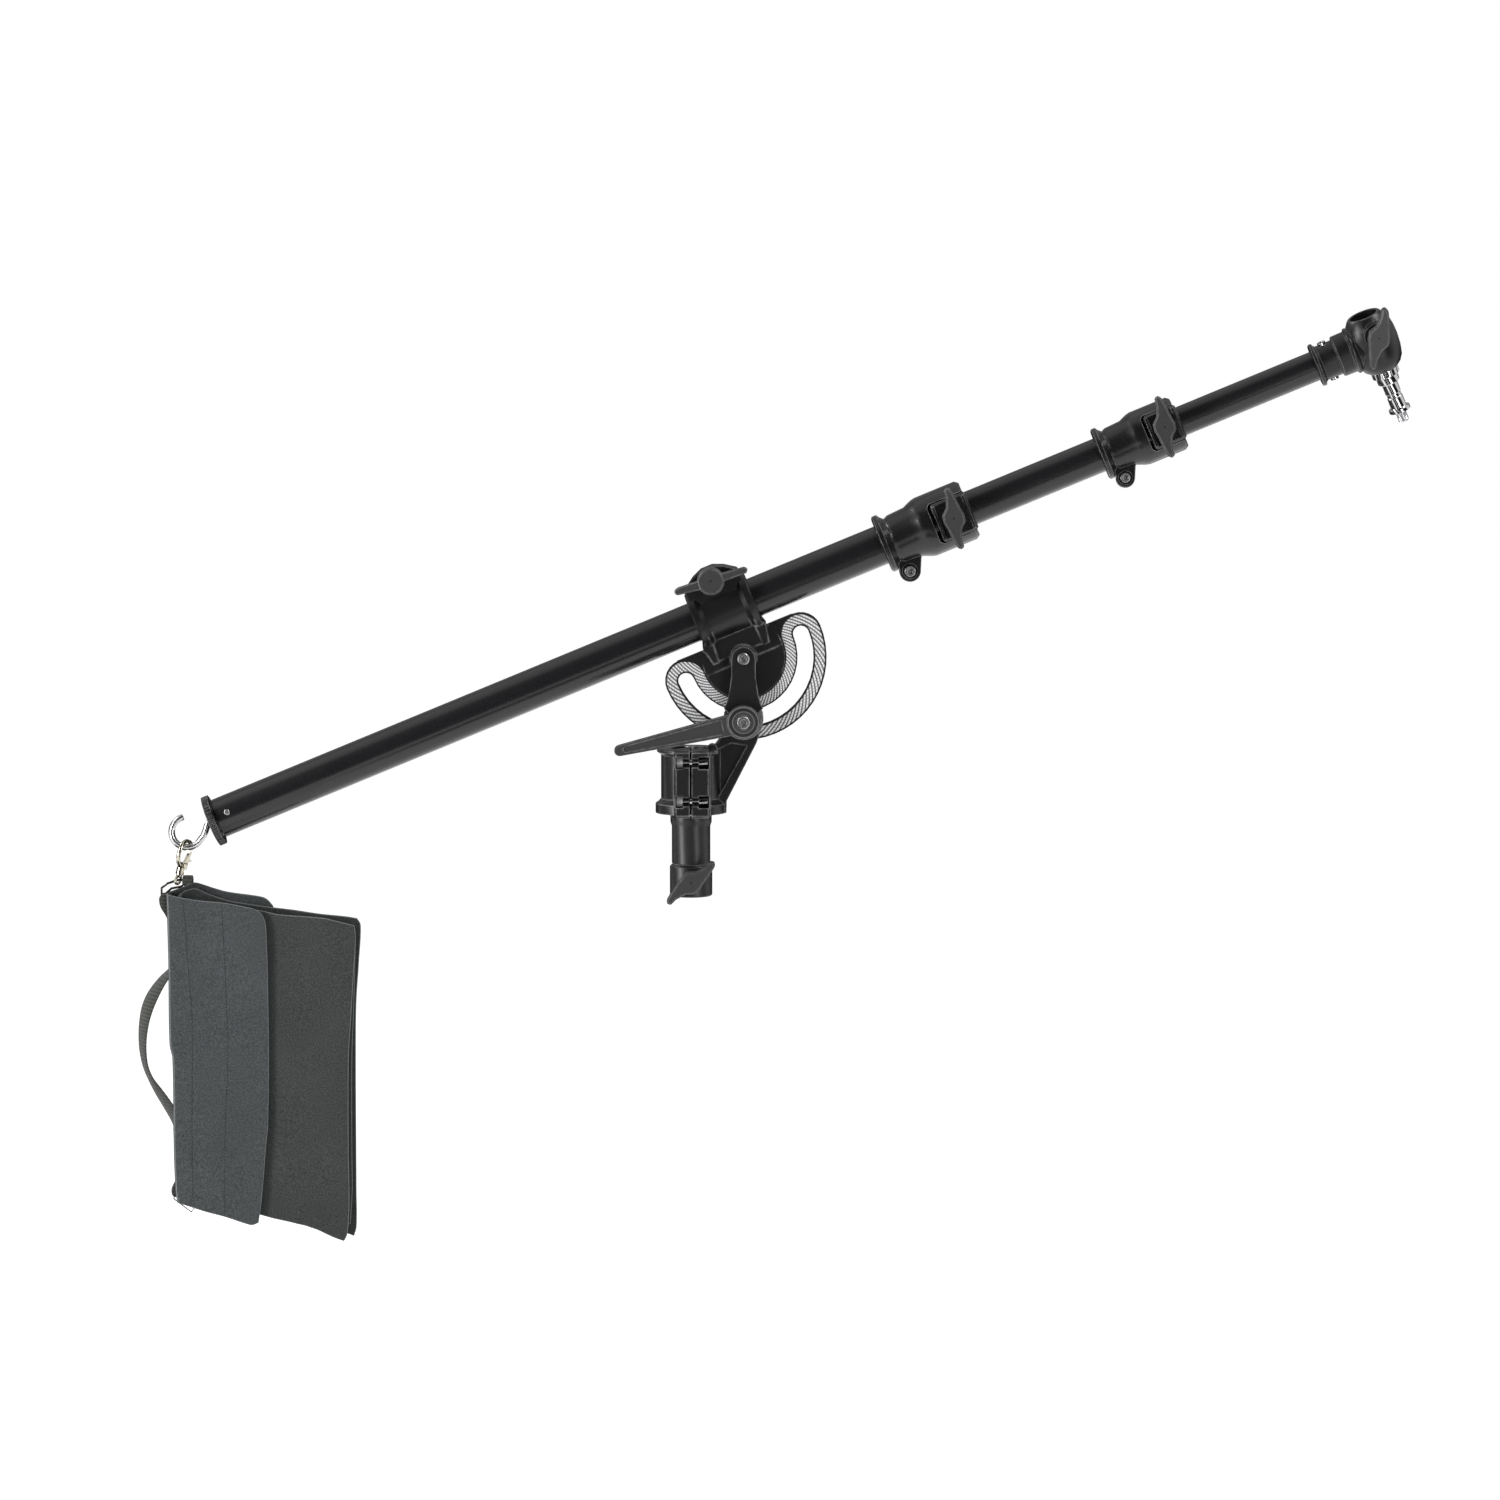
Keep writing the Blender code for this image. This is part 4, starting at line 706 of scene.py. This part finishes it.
def edge_curve(points):
    """A smooth curve through points in millimetres, as a function from 0 to 1 along its length."""
    spots = [Vector(point) * MM for point in points]
    lengths = [0]
    for first, second in zip(spots, spots[1:]):
        lengths.append(lengths[-1] + (second - first).length)

    def at(share):
        target = min(max(share, 0), 1) * lengths[-1]
        i = max(k for k in range(len(spots) - 1) if lengths[k] <= target)
        span = lengths[i + 1] - lengths[i]
        t = (target - lengths[i]) / span
        before, after = spots[max(i - 1, 0)], spots[min(i + 2, len(spots) - 1)]
        start, end = spots[i], spots[i + 1]
        pull_out = (end - before) * span / ((end - start).length + (start - before).length)
        pull_in = (after - start) * span / ((end - start).length + (after - end).length)
        return (
            (2 * t**3 - 3 * t**2 + 1) * start
            + (t**3 - 2 * t**2 + t) * pull_out
            + (3 * t**2 - 2 * t**3) * end
            + (t**3 - t**2) * pull_in
        )

    return at


def patch(top, bottom, left, right, columns, rows):
    """Rows of points between four edges. Top and bottom run to the right, and left and right run down."""
    top, bottom, left, right = (edge_curve(side) for side in (top, bottom, left, right))
    grid = []
    for row in range(rows + 1):
        v = row / rows
        line = []
        for column in range(columns + 1):
            u = column / columns
            across = (1 - v) * top(u) + v * bottom(u)
            down = (1 - u) * left(v) + u * right(v)
            corners = (1 - u) * ((1 - v) * top(0) + v * bottom(0)) + u * ((1 - v) * top(1) + v * bottom(1))
            line.append(across + down - corners)
        grid.append(line)
    return grid


print("fold of the bag, from its top corner to the hem:", round(-edge_curve(LEFT_EDGE)(1).y, 4), "m")

# %% [markdown]
# ## Sheets and waves
#
# A thickness and a rounded rim in a paler finish, a painted highlight, turn rows of points into
# cloth. An empty bag hangs flat, so it needs no cloth simulation: slow waves come from smooth noise, and
# each crease is a low ridge along a line. These are moves of the mesh, so the outline stays true. A few
# more columns of points carry a cloth round its fold.

# %% Sheets and waves
CLOTH_THICK, RIM_SHARE, RIM_ANGLE = 0.0022, 0.46, math.radians(55)
WAVE_HEIGHT, SLOW_WAVE, QUICK_WAVE, WAVE_STRETCH = 0.0010, 0.06, 0.025, 0.6


def cloth_piece(name, cloth, rows, thickness, replaced=()):
    """A sheet of cloth from rows of points, with a thickness and a rounded rim in a pale finish that paints
    a highlight.
    """
    columns = len(rows[0])
    points = [BAG_CORNER + point for row in rows for point in row]
    faces = []
    for first in range(0, (len(rows) - 1) * columns, columns):
        for i in range(first, first + columns - 1):
            faces.append((i, i + columns, i + columns + 1, i + 1))
    obj = new_object(name, points, faces, cloth, HEM_HIGHLIGHT)
    obj.data.shade_smooth()
    solid = obj.modifiers.new("thickness", "SOLIDIFY")
    solid.thickness = thickness
    solid.offset = 0
    rim = obj.modifiers.new("rim", "BEVEL")
    rim.width = thickness * RIM_SHARE
    rim.segments = 2
    rim.limit_method = "ANGLE"
    rim.angle_limit = RIM_ANGLE
    # The rim takes the second finish, the pale painted highlight.
    rim.material = 1
    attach(obj, "bag")
    if replaced:
        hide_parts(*replaced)
    cut = sum(polygon.area for polygon in obj.data.polygons)
    print(f"{name}: {len(faces)} faces, cut from {cut:.4f} square metres")


def ripple(point, seed, size):
    """A soft wave in the cloth, between -1 and 1."""
    return noise.noise(Vector((point.x / size, point.y / size * WAVE_STRETCH, seed)))


def waves(point, seed, height=WAVE_HEIGHT):
    """How far slow waves, and quicker ones half as high, move the cloth at a point."""
    return height * (ripple(point, seed, SLOW_WAVE) + 0.5 * ripple(point, seed + 20, QUICK_WAVE))


def crease(point, start, end, width):
    """A ridge along a line in the panel, 1 on its crest."""
    start, end = Vector(start) * MM, Vector(end) * MM
    along = end - start
    share = min(max((point - start).dot(along) / along.length_squared, 0), 1)
    return math.exp(-(((point - start - along * share).length / (width * MM)) ** 2))


def panel_rows(grid, depth, seed, height=WAVE_HEIGHT, creases=()):
    """Lays a patch at a depth, with its waves, and its creases towards the viewer."""
    rows = []
    for line in grid:
        row = []
        for p in line:
            lift = waves(p, seed, height)
            lift -= sum(rise * crease(p, start, end, width) for start, end, width, rise in creases)
            row.append(Vector((p.x, depth + lift, p.y)))
        rows.append(row)
    return rows


def turn_round(near, far, steps, bulge):
    """Points that carry a cloth from one panel's edge to the other's round a fold."""
    turned = []
    for k in range(1, steps):
        share = (1 - math.cos(math.pi * k / steps)) / 2
        point = near.lerp(far, share)
        point.x -= bulge * math.sin(math.pi * k / steps)
        turned.append(point)
    return turned


def fold_over(first, second, steps, bulge):
    """The rows of one cloth that runs over a first panel, round the fold and over a second."""
    return [a[::-1] + turn_round(a[0], b[0], steps, bulge) + b for a, b in zip(first, second)]


print("cloth", CLOTH_THICK, "m thick, with waves of about", WAVE_HEIGHT, "m")

# %% [markdown]
# ## The flap
#
# The flap is the narrow outer cloth. It wraps round the left side of the bag, and its hem sags towards
# the right corner, where one crease runs up. A copy of the front panel would be simpler, but the back
# one is drawn by its own edges, as it shows a little past the front.

# %% Flap
FLAP_DEPTH, FLAP_SEED, FLAP_BACK_SEED = 0.0136, 1.5, 7.5
CLOTH_ROWS, FLAP_COLUMNS = 110, 34
FLAP_CREASE = ((86, -330), (93, -300), 3, 0.0006)


def flap():
    front = patch(
        [(0, 0), (14, -3.2), (32, -6.0), (55, -8.2), (74, -11.8), (87, -14.8), (93.5, -19)],
        [(8.5, -312.5), (34.5, -321), (55, -326.5), (74, -332.8), (82, -334.6), (88.2, -332)],
        LEFT_EDGE,
        [
            (93.5, -19), (97.0, -27), (98.6, -52), (99.4, -98), (99.7, -166),
            (98.3, -234), (96.3, -254), (93.5, -288), (90.8, -315), (88.2, -332),
        ],
        FLAP_COLUMNS,
        CLOTH_ROWS,
    )
    back = patch(
        [
            (0, 0), (11, 4.0), (21, 8.0), (26, 9.0), (45, 3.0),
            (58, -0.5), (92, -5.4), (98, -8.5), (103.5, -15),
        ],
        [(8.5, -312.5), (55, -320), (100, -323)],
        LEFT_EDGE,
        [(103.5, -15), (104.3, -40), (104, -200), (100, -323)],
        FLAP_COLUMNS,
        CLOTH_ROWS,
    )
    near = panel_rows(front, -FLAP_DEPTH, FLAP_SEED, creases=[FLAP_CREASE])
    far = panel_rows(back, FLAP_DEPTH, FLAP_BACK_SEED)
    rows = fold_over(near, far, steps=7, bulge=0.0014)
    cloth_piece("bag_flap_cloth", FLAP_CLOTH, rows, CLOTH_THICK, ["bag_flap"])


flap()

# %% [markdown]
# ## The pouch and its lining
#
# The pouch sits inside the flap, folded the same way, and it is open at the top and the right. Three
# creases run near its lower corner, and a wider one lies above them. The lining is a single sheet
# between its sides, and only its edge shows, so it has no fold.

# %% Pouch and lining
POUCH_DEPTH, POUCH_SEED, POUCH_BACK_SEED, POUCH_COLUMNS = 0.0078, 3.5, 9.5, 56
POUCH_CREASES = [
    ((140, -337), (150, -330), 2.5, 0.0016),
    ((150, -330), (166, -327), 3, 0.0014),
    ((127, -330), (133, -308), 5, 0.0010),
    ((120, -262), (146, -236), 9, 0.0008),
]
LINING_THICK, LINING_DEPTH, LINING_SEED, LINING_WAVES = 0.0016, 0.0008, 5.5, 0.0004
LINING_COLUMNS, LINING_ROWS = 30, 70


def pouch():
    front = patch(
        [
            (11, -6), (50, -11), (94, -17), (109, -20.4),
            (154, -24), (165, -26.4), (177, -29.4), (186, -31.6),
        ],
        [
            (12, -302), (60, -316), (91, -325.4), (102, -328.6),
            (123, -333.4), (143, -338.8), (163, -348), (173.6, -352),
        ],
        [(11, -6), (14, -160), (12, -302)],
        [
            (186, -31.6), (187.2, -44), (184.6, -86), (181.6, -132), (179.4, -166),
            (178.8, -261), (179.4, -302), (179, -322), (177, -345), (173.6, -352),
        ],
        POUCH_COLUMNS,
        CLOTH_ROWS,
    )
    back = patch(
        [
            (11, -1.4), (15.5, 1.4), (26, 3.8), (37, -1), (48, -5), (58, -8.2), (74, -11.2),
            (89, -13.6), (105, -15.7), (123, -17.8), (150, -21.8), (177, -24.6), (187.6, -26.4),
        ],
        [(12, -302), (60, -314), (91, -323), (146, -338), (178, -347.4), (183, -349.5)],
        [(11, -1.4), (14, -160), (12, -302)],
        [
            (187.6, -26.4), (191.4, -33), (189.4, -71), (186.6, -112),
            (185.8, -166), (185.8, -300), (185.6, -340), (183, -349.5),
        ],
        POUCH_COLUMNS,
        CLOTH_ROWS,
    )
    near = panel_rows(front, -POUCH_DEPTH, POUCH_SEED, creases=POUCH_CREASES)
    far = panel_rows(back, POUCH_DEPTH, POUCH_BACK_SEED)
    rows = fold_over(far, near, steps=5, bulge=0.0010)
    cloth_piece("bag_pouch_cloth", POUCH_CLOTH, rows, CLOTH_THICK, ["bag_pouch"])


def lining():
    """The pouch's inner layer, which shows as a thin edge between its two sides."""
    sheet = patch(
        [(60, -40), (120, -44), (170, -48), (186.6, -50)],
        [(60, -300), (120, -318), (150, -326), (180, -336)],
        [(60, -40), (60, -300)],
        [(186.6, -50), (184.8, -112), (182.6, -166), (182.0, -261), (182.2, -300), (180, -336)],
        LINING_COLUMNS,
        LINING_ROWS,
    )
    rows = panel_rows(sheet, -LINING_DEPTH, LINING_SEED, LINING_WAVES)
    cloth_piece("bag_lining_cloth", POUCH_CLOTH, rows, LINING_THICK)


pouch()
lining()

# %% [markdown]
# ## Stitching
#
# Two seams run down the flap. Each stitch is a short dark thread that lies just proud of the cloth.
# One mesh holds a whole seam, and the stitches follow the cloth's own waves. Dashes painted in the
# finish would be simpler, but they would have no height.

# %% Stitches
FLAP_FACE = FLAP_DEPTH + CLOTH_THICK / 2
STITCH_PITCH, STITCH_SHARE = 0.0032, 0.82
STITCH_HALF_WIDTH, STITCH_HALF_HEIGHT = 0.00048, 0.00034


def stitches(name, seam):
    curve = edge_curve(seam)
    count = int((curve(1) - curve(0)).length / STITCH_PITCH)
    shape = bmesh.new()
    for i in range(count):
        first, second = curve(i / count), curve((i + STITCH_SHARE) / count)
        middle = (first + second) / 2
        at = BAG_CORNER + Vector((middle.x, -FLAP_FACE + waves(first, FLAP_SEED), middle.y))
        lean = Matrix.Rotation(math.atan2(second.x - first.x, second.y - first.y), 4, "Y")
        size = Matrix.Diagonal((STITCH_HALF_WIDTH, STITCH_HALF_HEIGHT, (second - first).length / 2, 1))
        laid = Matrix.Translation(at) @ lean @ size
        bmesh.ops.create_icosphere(shape, subdivisions=1, radius=1, matrix=laid)
    obj = new_object(name, [], [], THREAD)
    shape.to_mesh(obj.data)
    shape.free()
    obj.data.shade_smooth()
    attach(obj, "bag")
    print(name, count, "stitches")


stitches(
    "seam_left",
    [(14.8, -5), (17.5, -37), (20.3, -85), (22.6, -112), (23, -166), (22, -234), (22.6, -315)],
)
stitches("seam_right", [(53.5, -9.5), (55.5, -57), (57.8, -112), (58.7, -166), (55.5, -234), (54.2, -325)])

# %% [markdown]
# ## Skins of rings
#
# The straps, the folded tabs, the spring and the screw thread are made in one way: rings of points
# follow each other along the piece, faces join each ring to the next, and a cap closes each end. A
# curve object with a bevel could make the plain ones, but rings can also twist, ripple and taper.

# %% Skins of rings
FACET_ANGLE = math.radians(50)


def add_piece(name, points, faces, finish, body, replaced=()):
    """A piece of the visual model that rides on a body."""
    obj = new_object(name, points, faces, finish)
    obj.data.shade_smooth()
    split = obj.modifiers.new("facets", "EDGE_SPLIT")
    split.split_angle = FACET_ANGLE
    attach(obj, body)
    if replaced:
        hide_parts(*replaced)
    print(name, "made of", len(faces), "faces")
    return obj


def tube_faces(count, around):
    """Faces between rings of points, with a cap at each end."""
    faces = []
    for i in range(count):
        for k in range(around):
            after = (k + 1) % around
            low, high = around * i, around * (i + 1)
            faces.append((low + k, low + after, high + after, high + k))
    return faces + [tuple(range(around - 1, -1, -1)), tuple(range(around * count, around * (count + 1)))]


print("one step with four points round it has", len(tube_faces(1, 4)), "faces, as a box has")

# %% [markdown]
# ## Webbing
#
# The carrying handle is one flat strap that twists a little, so that its ribbed face shows. It is laid
# between its near edge and its far edge, which the picture gives. A second strap runs down the fold to
# the lower ring, and a short one comes up behind the bag and over the upper ring. Webbing is stiff
# enough to keep these curves, so each strap is one skin between two edge curves.

# %% Straps
STRAP_STEPS, LOOK_AHEAD = 60, 0.01
STRAP_SECTION = [
    (-1, 0.35), (-0.93, 1), (0, 1.12), (0.93, 1), (1, 0.35),
    (1, -0.35), (0.93, -1), (0, -1.12), (-0.93, -1), (-1, -0.35),
]
HANDLE_NEAR = [
    (0.4, -83.5), (-5.6, -93.2), (-12.6, -107.4), (-17.4, -119.2), (-20.9, -131), (-23.2, -145),
    (-23.7, -159), (-22.1, -173.4), (-17.4, -185.2), (-10.3, -194.6), (-3.2, -204), (3.4, -213.4),
]
HANDLE_FAR = [
    (-1.4, -78), (-12.6, -88.6), (-23.2, -102.7), (-29.1, -116.8), (-31.8, -133.3), (-32.4, -147.5),
    (-31.5, -161.6), (-28, -178), (-22.1, -192.3), (-15, -206.4), (-6.7, -220.6), (0.8, -234.5),
    (3.6, -243),
]
FOLD_NEAR = [(3.6, -236), (4.2, -262), (4.9, -285), (5.6, -301)]
FOLD_FAR = [(3.2, -236), (3.4, -262), (3.8, -285), (4.6, -301)]
OVER_RING = [
    (16.4, -20), (16.4, 0), (16.3, 9), (14.8, 13.4), (10, 15.6),
    (4, 16.2), (-2, 15.4), (-6.2, 13), (-7.4, 10.2),
]
STRAP_HALF_WIDTH, FOLD_STRAP_HALF_WIDTH = 11.5, 11
TOP_TAB_LEFT, TOP_TAB_RIGHT = 13.6, 23.4


def strap(name, near_edge, far_edge, thick, replaced=()):
    """A flat strap between two edges, in millimetres from the bag's corner."""
    near, far = edge_curve(near_edge), edge_curve(far_edge)
    points = []
    for i in range(STRAP_STEPS + 1):
        share = i / STRAP_STEPS
        after, before = share + LOOK_AHEAD, share - LOOK_AHEAD
        ahead = near(after) + far(after) - near(before) - far(before)
        middle, reach = (near(share) + far(share)) / 2, (far(share) - near(share)) / 2
        normal = reach.cross(ahead).normalized() * thick / 2
        points += [BAG_CORNER + middle + reach * a + normal * b for a, b in STRAP_SECTION]
    faces = tube_faces(STRAP_STEPS, len(STRAP_SECTION))
    add_piece(name, points, faces, WEBBING, "bag", replaced)


def at_depth(outline, depth):
    """An outline in the plane of the picture, as points at a depth."""
    return [(x, depth, z) for x, z in outline]


strap(
    "handle_strap",
    at_depth(HANDLE_NEAR, -STRAP_HALF_WIDTH),
    at_depth(HANDLE_FAR, STRAP_HALF_WIDTH),
    thick=0.0018,
    replaced=["bag_handle"],
)
strap(
    "fold_strap",
    at_depth(FOLD_NEAR, -FOLD_STRAP_HALF_WIDTH),
    at_depth(FOLD_FAR, FOLD_STRAP_HALF_WIDTH),
    thick=0.0014,
)
strap(
    "top_tab_strap",
    [(TOP_TAB_LEFT, y, z) for y, z in OVER_RING],
    [(TOP_TAB_RIGHT, y, z) for y, z in OVER_RING],
    thick=0.0019,
    replaced=["top_tab"],
)

# %% [markdown]
# ## Sewn tabs
#
# At the two rings, a short piece of webbing is folded round the wire and sewn to the fold of the bag.
# Its layers are pressed together, so each tab is one closed form: the outline of the fold is swept
# across the webbing's width, and its radius rises and falls with every rib of the weave.

# %% Tabs
TAB_HALF_WIDTH, TAB_RIBS, STEPS_PER_RIB, TAB_AROUND = 9.8, 7, 6, 40
RIB_HEIGHT, TAB_ROUNDING, ROUNDING_POWER = 0.00022, 0.0009, 12


def tab(name, outline, replaced):
    """A folded piece of webbing, from the outline of its fold in millimetres."""
    edge = edge_curve(at_depth(outline + outline[:1], 0))
    middle = sum((edge(k / TAB_AROUND) for k in range(TAB_AROUND)), Vector()) / TAB_AROUND
    columns = TAB_RIBS * STEPS_PER_RIB
    points = []
    for i in range(columns + 1):
        across = 2 * i / columns - 1
        rib = RIB_HEIGHT * abs(math.sin(math.pi * TAB_RIBS * i / columns))
        rounding = TAB_ROUNDING * (1 - math.sqrt(max(1 - abs(across) ** ROUNDING_POWER, 0)))
        for k in range(TAB_AROUND):
            spot = edge(k / TAB_AROUND)
            out = (spot - middle).normalized() * (rib - rounding)
            points.append(BAG_CORNER + spot + out + Vector((0, TAB_HALF_WIDTH * across * MM, 0)))
    add_piece(name, points, tube_faces(columns, TAB_AROUND), WEBBING, "bag", replaced)


tab(
    "side_tab_fold",
    [
        (-7.4, -0.9), (-9.4, -4.5), (-9.0, -10), (-7.2, -15), (-3.8, -20.5),
        (-0.6, -26.5), (-0.3, -20), (-0.6, -12), (-1.2, -3), (-2.6, -1.1),
    ],
    replaced=["side_tab"],
)
tab(
    "bottom_tab_fold",
    [
        (6.6, -288.6), (3.4, -292.6), (0.7, -298.6), (1.2, -304.6),
        (4.0, -307.2), (6.2, -305.4), (6.8, -297),
    ],
    replaced=["bottom_tab"],
)

# %% [markdown]
# ## Spring
#
# The spring under the lever's screw is wound wire, and it shortens when the handle is lifted. A rigid
# solid can't do that, so here it is a mesh of its own that rides on the lever's core; this script
# doesn't flatten it. A circle swept along a helix makes it.

# %% Spring
COIL_TURNS, STEPS_PER_TURN, WIRE_AROUND = 4, 24, 10
COIL_RADIUS, WIRE_RADIUS = 0.0052, 0.00055
COIL_START, COIL_END = 0.0302, 0.0382


def lever_spring():
    count = COIL_TURNS * STEPS_PER_TURN
    points = []
    for i in range(count + 1):
        angle = math.tau * i / STEPS_PER_TURN
        out = Vector((math.cos(angle), 0, math.sin(angle)))
        height = COIL_START + (COIL_END - COIL_START) * i / count
        for k in range(WIRE_AROUND):
            turn = math.tau * k / WIRE_AROUND
            ring = out * (COIL_RADIUS + WIRE_RADIUS * math.cos(turn))
            points.append(LEVER_AXIS + ring + Vector((0, -height - WIRE_RADIUS * math.sin(turn), 0)))
    faces = tube_faces(count, WIRE_AROUND)
    coil = add_piece("lever_coil", points, faces, STEEL, "lever_core", ["lever_spring"])
    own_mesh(coil)


lever_spring()

# %% [markdown]
# ## Screw thread
#
# The stud ends in a fine screw thread for the lamp. A thread is a cylinder whose radius rises and falls
# once for each turn and each pitch, so one sum draws its helix, and its crests taper off at the end. It
# is too fine to be worth modelling in the solids.

# %% Screw thread
BOOM_ABOVE_PIVOT, HEAD_ALONG_BOOM, HEAD_TURN = 0.051, 0.699, math.radians(11)
BOOM_AXIS = PIVOT + BOOM_ABOVE_PIVOT * Vector((-math.sin(BOOM_TILT), 0, math.cos(BOOM_TILT)))
HEAD = (
    Matrix.Translation(BOOM_AXIS)
    @ Matrix.Rotation(-BOOM_TILT, 4, "Y")
    @ Matrix.Translation((HEAD_ALONG_BOOM, 0, 0))
    @ Matrix.Rotation(HEAD_TURN, 4, "X")
)
THREAD_START, THREAD_LENGTH, THREAD_PITCH = -0.0762, 0.0115, 0.0016
THREAD_ROOT, THREAD_CREST, THREAD_AROUND, STEPS_PER_PITCH = 0.0048, 0.0055, 48, 16
TAPER_LENGTH, TAPER_DEPTH = 0.0012, 0.0008


def screw_thread():
    count = round(THREAD_LENGTH / THREAD_PITCH * STEPS_PER_PITCH)
    points = []
    for i in range(count + 1):
        down = THREAD_LENGTH * i / count
        taper = min(1, (THREAD_LENGTH - down) / TAPER_LENGTH)
        for k in range(THREAD_AROUND):
            turn = k / THREAD_AROUND
            rise = abs(((down / THREAD_PITCH - turn) % 1) * 2 - 1)
            radius = THREAD_ROOT - TAPER_DEPTH * (1 - taper) + (THREAD_CREST - THREAD_ROOT) * rise * taper
            angle = math.tau * turn
            spot = Vector((radius * math.cos(angle), radius * math.sin(angle), THREAD_START - down))
            points.append(HEAD @ spot)
    add_piece("spigot_thread", points, tube_faces(count, THREAD_AROUND), CHROME, "spigot")


screw_thread()
